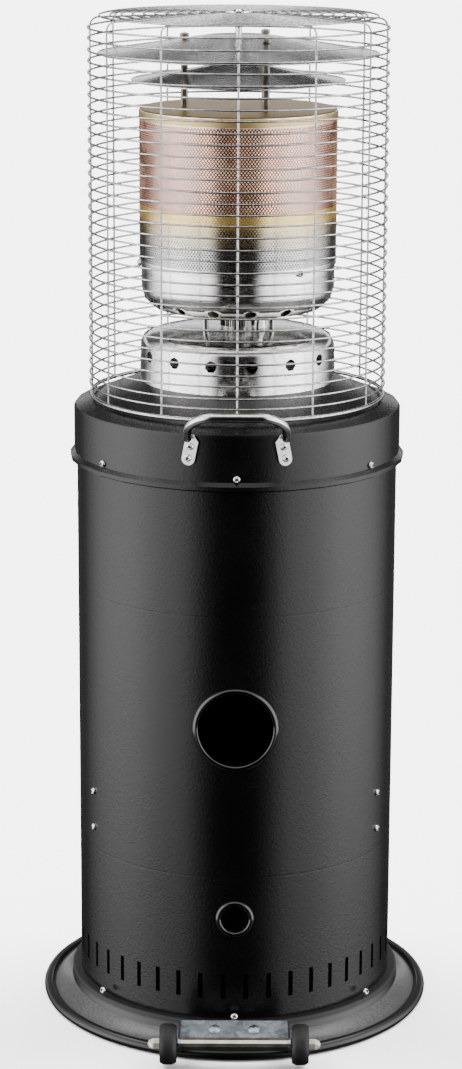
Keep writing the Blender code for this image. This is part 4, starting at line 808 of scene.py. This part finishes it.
def perforatedTree(name, material):
    tree, sheet, given = geometryTree(name, Columns=186, Rows=64, Pitch=0.1, RowHeight=0.1, Hole=0.1,
                                      Radius=0.1, Bottom=0.1, Axis=0.0)
    corner = given["RowHeight"] / 1.5
    cell = sheet.add("GeometryNodeMeshCircle", {"fill_type": "NGON"}, {"Vertices": 6, "Radius": corner})
    cell = sheet.add("GeometryNodeTransform", None, {"Geometry": cell, "Rotation": (0, 0, pi / 6)})
    drawn = sheet.add("GeometryNodeExtrudeMesh", {"mode": "FACES"}, {"Mesh": cell, "Offset Scale": 0.0})
    top = drawn.beside("Top")
    shrunk = sheet.add("GeometryNodeScaleElements", {"domain": "FACE"},
                       {"Geometry": drawn, "Selection": top, "Scale": given["Hole"] / corner})
    holed = sheet.add("GeometryNodeDeleteGeometry", {"domain": "FACE"}, {"Geometry": shrunk, "Selection": top})
    spot = sheet.add("GeometryNodeInputPosition")
    length = sheet.add("ShaderNodeVectorMath", {"operation": "LENGTH"}, [spot], 1)
    outer = length.math("GREATER_THAN", given["Hole"] * 1.2)
    x, y, z = parts(sheet, spot)
    widen = given["Pitch"] / (corner * math.sqrt(3))
    wide = sheet.vector(x * widen, y, z)
    tile = sheet.add("GeometryNodeSetPosition", None, {"Geometry": holed, "Selection": outer, "Position": wide})
    count = given["Columns"] * given["Rows"]
    points = sheet.add("GeometryNodePoints", None, {"Count": count})
    index = sheet.add("GeometryNodeInputIndex")
    row = (index / given["Columns"] + 0.0001).math("FLOOR")
    column = index - row * given["Columns"]
    odd = (row * 0.5).math("FRACT")
    here = sheet.vector((column + odd) * given["Pitch"], row * given["RowHeight"], 0.0)
    spread = sheet.add("GeometryNodeSetPosition", None, {"Geometry": points, "Position": here})
    tiles = sheet.add("GeometryNodeInstanceOnPoints", None, {"Points": spread, "Instance": tile})
    real = sheet.add("GeometryNodeRealizeInstances", None, [tiles])
    x, y, z = parts(sheet, sheet.add("GeometryNodeInputPosition"))
    turn = x / given["Radius"]
    around = sheet.vector(turn.math("SINE") * given["Radius"],
                          given["Axis"] - turn.math("COSINE") * given["Radius"], y + given["Bottom"])
    rolled = sheet.add("GeometryNodeSetPosition", None, {"Geometry": real, "Position": around})
    joined = sheet.add("GeometryNodeMergeByDistance", None, {"Geometry": rolled, "Distance": 0.00005})
    finishTree(sheet, joined, material)
    return tree


low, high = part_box("burner_screen")
# the wall seen through the holes: painted shade at its foot and a painted glow higher up
shadeAndGlowWall = band(heat["wall"] - heat["wallSheet"], heat["wall"], low.z, high.z)
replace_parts(lathe("shadeAndGlowWall", shadeAndGlowWall, screenInside, "heater", 180), "burner_screen")
rows = round((screen["top"] - screen["bottom"]) / screen["rowHeight"])
build("screenSheet", perforatedTree("perforated screen", screenSteel),
      {"Columns": screen["columns"], "Rows": rows, "Pitch": 2 * pi * screen["radius"] / screen["columns"],
       "RowHeight": screen["rowHeight"], "Hole": screen["hole"], "Radius": screen["radius"],
       "Bottom": screen["bottom"] + screen["rowHeight"] / 2, "Axis": axisY}, "heater")
lathe("screenFoot", band(screen["footInner"], screen["footOuter"], screen["footLow"], screen["footHigh"]),
      brushedSteel, "heater", 96)
print("screen perforated")


# Screws: domed heads with a cross recess, set where the housing is fastened

# bearings from the front in degrees, the radius of the wall, and heights
screws = {"head": 0.0046, "rise": 0.0031, "recess": 0.0026, "slot": 0.0009, "shadow": 0.0017, "spin": 0.7,
          "stay": (-63, 63), "stayRadius": 0.2036, "stayHeights": (0.301, 0.2528),
          "base": (0, 52, 128, 180, 232, 308), "baseRadius": 0.2145, "baseHeight": 0.0445, "baseSlope": 25,
          "cap": (0, 53, 127, 180, 233, 307), "capRadius": 0.2072, "capHeight": 0.7375,
          "handle": ((15.5, 0.7772), (16.3, 0.7629)), "handleRadius": 0.2112,
          "screen": (38.5, -85.7, 158), "screenRadius": 0.1231, "screenHeight": 0.9705}


def facingCopies(sheet, points, instance):
    # one copy on each point, its top turned to the point's own way out
    facing = sheet.add("GeometryNodeInputNamedAttribute", {"data_type": "FLOAT_VECTOR"}, ["facing"])
    aim = sheet.add("FunctionNodeAlignEulerToVector", {"axis": "Z"}, {"Vector": facing})
    spin = sheet.add("GeometryNodeInputNamedAttribute", {"data_type": "FLOAT"}, ["spin"])
    turn = sheet.vector(0.0, 0.0, spin)
    rotation = sheet.add("FunctionNodeRotateEuler", {"space": "LOCAL"}, {"Rotation": aim, "Rotate By": turn})
    return sheet.add("GeometryNodeInstanceOnPoints", None,
                     {"Points": points, "Instance": instance, "Rotation": rotation})


def screwTree(name, material):
    tree, sheet, given = geometryTree(name, Head=0.1, Rise=0.1, Recess=0.1, Slot=0.1)
    ball = sheet.add("GeometryNodeMeshUVSphere", None, {"Segments": 20, "Rings": 10, "Radius": 1.0})
    size = sheet.vector(given["Head"], given["Head"], given["Rise"])
    head = sheet.add("GeometryNodeTransform", None, {"Geometry": ball, "Scale": size})
    for long, across in (("Recess", "Slot"), ("Slot", "Recess")):
        block = sheet.vector(given[long] * 2, given[across] * 2, given["Rise"] * 1.6)
        box = sheet.add("GeometryNodeMeshCube", None, {"Size": block})
        lift = sheet.vector(0.0, 0.0, given["Rise"] * 1.25)
        cut = sheet.add("GeometryNodeTransform", None, {"Geometry": box, "Translation": lift})
        head = sheet.add("GeometryNodeMeshBoolean", {"operation": "DIFFERENCE"}, {"Mesh 1": head, "Mesh 2": cut})
    finishTree(sheet, facingCopies(sheet, given["Geometry"], head), material)
    return tree


def recessShadeTree(name, material):
    # painted shade: a thin dark cap on the middle of each dome stands for the shade in the recess
    tree, sheet, given = geometryTree(name, Shadow=0.1, Rise=0.1)
    ball = sheet.add("GeometryNodeMeshUVSphere", None, {"Segments": 12, "Rings": 6, "Radius": 1.0})
    size = sheet.vector(given["Shadow"], given["Shadow"], given["Shadow"] * 0.2)
    lift = sheet.vector(0.0, 0.0, given["Rise"] * 0.93)
    cap = sheet.add("GeometryNodeTransform", None, {"Geometry": ball, "Translation": lift, "Scale": size})
    finishTree(sheet, facingCopies(sheet, given["Geometry"], cap), material)
    return tree


def screwPlaces(name, spots):
    mesh = bpy.data.meshes.new(name)
    mesh.from_pydata([spot for spot, facing in spots], [], [])
    mesh.attributes.new("facing", "FLOAT_VECTOR", "POINT")
    mesh.attributes.new("spin", "FLOAT", "POINT")
    for index, (spot, way) in enumerate(spots):
        mesh.attributes["facing"].data[index].vector = way
        mesh.attributes["spin"].data[index].value = index * screws["spin"]
    return mesh


def onWall(degrees, radius, height, slope=0.0):
    # a point on the housing at a bearing from the front, and the way out of it
    turn, lean = math.radians(degrees), math.radians(slope)
    out = Vector((math.sin(turn), -math.cos(turn), 0))
    spot = Vector((0, axisY, height)) + out * radius
    return tuple(spot), tuple(out * math.cos(lean) + Vector((0, 0, math.sin(lean))))


spots = [onWall(angle, screws["stayRadius"], height) for angle in screws["stay"] for height in screws["stayHeights"]]
spots += [onWall(angle, screws["baseRadius"], screws["baseHeight"], screws["baseSlope"]) for angle in screws["base"]]
spots += [onWall(angle, screws["capRadius"], screws["capHeight"]) for angle in screws["cap"]]
spots += [onWall(side * angle, screws["handleRadius"], height) for side in (-1, 1)
          for angle, height in screws["handle"]]
spots += [onWall(angle, screws["screenRadius"], screws["screenHeight"]) for angle in screws["screen"]]
build("screwHeads", screwTree("screws", screwSteel),
      {"Head": screws["head"], "Rise": screws["rise"], "Recess": screws["recess"], "Slot": screws["slot"]},
      "heater", screwPlaces("screwPlaces", spots))
# painted shade: a dark cap in each screw recess
build("screwRecessShade", recessShadeTree("screw recess shade", recessShade),
      {"Shadow": screws["shadow"], "Rise": screws["rise"]}, "heater",
      screwPlaces("recessPlaces", spots))
print("screws set:", len(spots))


# Neck ribs

ribs = {"count": 44, "radius": 0.0211, "rib": 0.0007, "low": 0.8905, "high": 0.9425}


def ribTree(name, material):
    tree, sheet, given = geometryTree(name, Count=44, Rib=0.1, Radius=0.1, Low=0.1, High=0.1, Axis=0.0)
    rod = sheet.add("GeometryNodeMeshCylinder", None, {"Vertices": 6, "Radius": given["Rib"],
                                                       "Depth": given["High"] - given["Low"]})
    points = sheet.add("GeometryNodePoints", None, {"Count": given["Count"]})
    turn = sheet.add("GeometryNodeInputIndex") * (2 * pi) / given["Count"]
    spot = sheet.vector(turn.math("SINE") * given["Radius"], given["Axis"] - turn.math("COSINE") * given["Radius"],
                        (given["High"] + given["Low"]) / 2)
    around = sheet.add("GeometryNodeSetPosition", None, {"Geometry": points, "Position": spot})
    standing = sheet.add("GeometryNodeInstanceOnPoints", None, {"Points": around, "Instance": rod})
    finishTree(sheet, standing, material)
    return tree


build("neckRibs", ribTree("neck ribs", neckSteel),
      {"Count": ribs["count"], "Rib": ribs["rib"], "Radius": ribs["radius"], "Low": ribs["low"],
       "High": ribs["high"], "Axis": axisY}, "heater")


# Studio: pale floor, soft light from both sides and above, camera at the photograph's place

# strengths, then where each light starts and ends, as a bearing or a share of the way up or back
studio = {"floor": 40.0, "floorTone": 0.5, "sun": 18.0, "sunSize": 50, "sunTip": -38, "sunSwing": 52,
          "white": 8.0, "sides": 5.8, "behind": 0.1, "backWall": 1.5, "above": 6.0, "zenith": 1.3, "least": 0.002,
          "sideEdge": (0.35, 0.70), "sideRise": (0.7, 1.5), "sideFall": (1.2, 2.55), "behindFrom": (2.3, 2.7),
          "wallFrom": (0.55, 0.8), "wallFoot": (0.02, 0.08), "wallTop": (0.14, 0.24), "ceiling": (0.45, 0.75),
          "ground": (-0.41, -0.31), "boxFront": (0.12, 0.25), "boxBack": (0.5, 0.72), "boxHeight": (0.72, 0.88),
          "fringe": (-0.3, -0.15), "zenithBack": (0.5, 0.8)}

builder = bmesh.new()
bmesh.ops.create_grid(builder, x_segments=1, y_segments=1, size=studio["floor"])
floorMesh = bpy.data.meshes.new("floor")
builder.to_mesh(floorMesh)
builder.free()
floor = stand("floor", floorMesh)
floorMaterial, sheet, shader = shade("floor", Roughness=0.9, Specular_IOR_Level=0.0)
tone = studio["floorTone"]
speckle = noise(sheet, place(sheet), 3.0, 2.0, 0.5)
wire(sheet, shader, Base_Color=sheet.blend(speckle, (*[tone * 0.99] * 3, 1), (*[tone] * 3, 1)))
floorMesh.materials.append(floorMaterial)
floor.visible_glossy = False
floor.visible_diffuse = False

onlyFloor = bpy.data.collections.new("onlyFloor")
onlyFloor.objects.link(floor)
for name, side in (("floorLightLeft", 1), ("floorLightRight", -1)):
    sun = bpy.data.lights.new(name, "SUN")
    sun.energy = studio["sun"]
    sun.angle = math.radians(studio["sunSize"])
    sunPlace = stand(name, sun)
    sunPlace.rotation_euler = (math.radians(studio["sunTip"]), 0, math.radians(side * studio["sunSwing"]))
    sunPlace.light_linking.receiver_collection = onlyFloor

world = bpy.data.worlds.new("studio")
bpy.context.scene.world = world
world.use_nodes = True
sheet = Sheet(world.node_tree)
background = world.node_tree.nodes["Background"]
background.inputs["Color"].default_value = (1, 1, 1, 1)
way = sheet.add("ShaderNodeTexCoord", output=0)
x, y, z = parts(sheet, way)
bearing = x.math("ABSOLUTE").math("ARCTAN2", -y)
# soft boxes at both sides, brightest a little behind the object
sides = sheet.between(bearing, *studio["sideEdge"], 0.0, 0.6) + sheet.between(bearing, *studio["sideRise"], 0.0, 0.4)
sides = sides * sheet.between(bearing, *studio["sideFall"], 1.0, 0.0) * studio["sides"]
behind = sheet.between(bearing, *studio["behindFrom"]) * studio["behind"]
# a low pale wall behind, a box above and a dim ceiling; the ground stays dark
wall = sheet.between(y, *studio["wallFrom"]) * sheet.between(z, *studio["wallFoot"])
wall = wall * sheet.between(z, *studio["wallTop"], 1.0, 0.0) * studio["backWall"]
level = (sides + behind) * sheet.between(z, *studio["ceiling"], 1.0, 0.1)
level = level * sheet.between(z, *studio["ground"], 0.06, 1.0)
above = sheet.between(y, *studio["boxFront"]) * sheet.between(y, *studio["boxBack"], 1.0, 0.05)
above = above + sheet.between(y, *studio["fringe"], 0.3, 0.0)
above = above * sheet.between(z, *studio["boxHeight"]) * studio["above"]
zenith = sheet.between(z, *studio["ceiling"]) * sheet.between(y, *studio["zenithBack"], 1.0, 0.3) * studio["zenith"]
light = level + above + zenith + wall + studio["least"]
seen = sheet.add("ShaderNodeLightPath", output=0)
strength = light * (1.0 - seen) + seen * studio["white"]
world.node_tree.links.new(strength.socket, background.inputs["Strength"])

view = {"distance": 3.6774, "height": 1.544, "tilt": 14.147, "turn": 0.1096, "lean": 0.235,
        "lens": 99.50, "sensor": 36.0, "reach": 200}
camera = bpy.data.cameras.new("camera")
camera.sensor_width = view["sensor"]
camera.lens = view["lens"]
camera.clip_end = view["reach"]
cameraPlace = stand("camera", camera)
cameraPlace.matrix_world = (Matrix.Translation((0, axisY - view["distance"], view["height"]))
                            @ Matrix.Rotation(math.radians(view["turn"]), 4, "Z")
                            @ Matrix.Rotation(math.radians(90 - view["tilt"]), 4, "X")
                            @ Matrix.Rotation(math.radians(view["lean"]), 4, "Z"))
bpy.context.scene.camera = cameraPlace
print("studio lit")
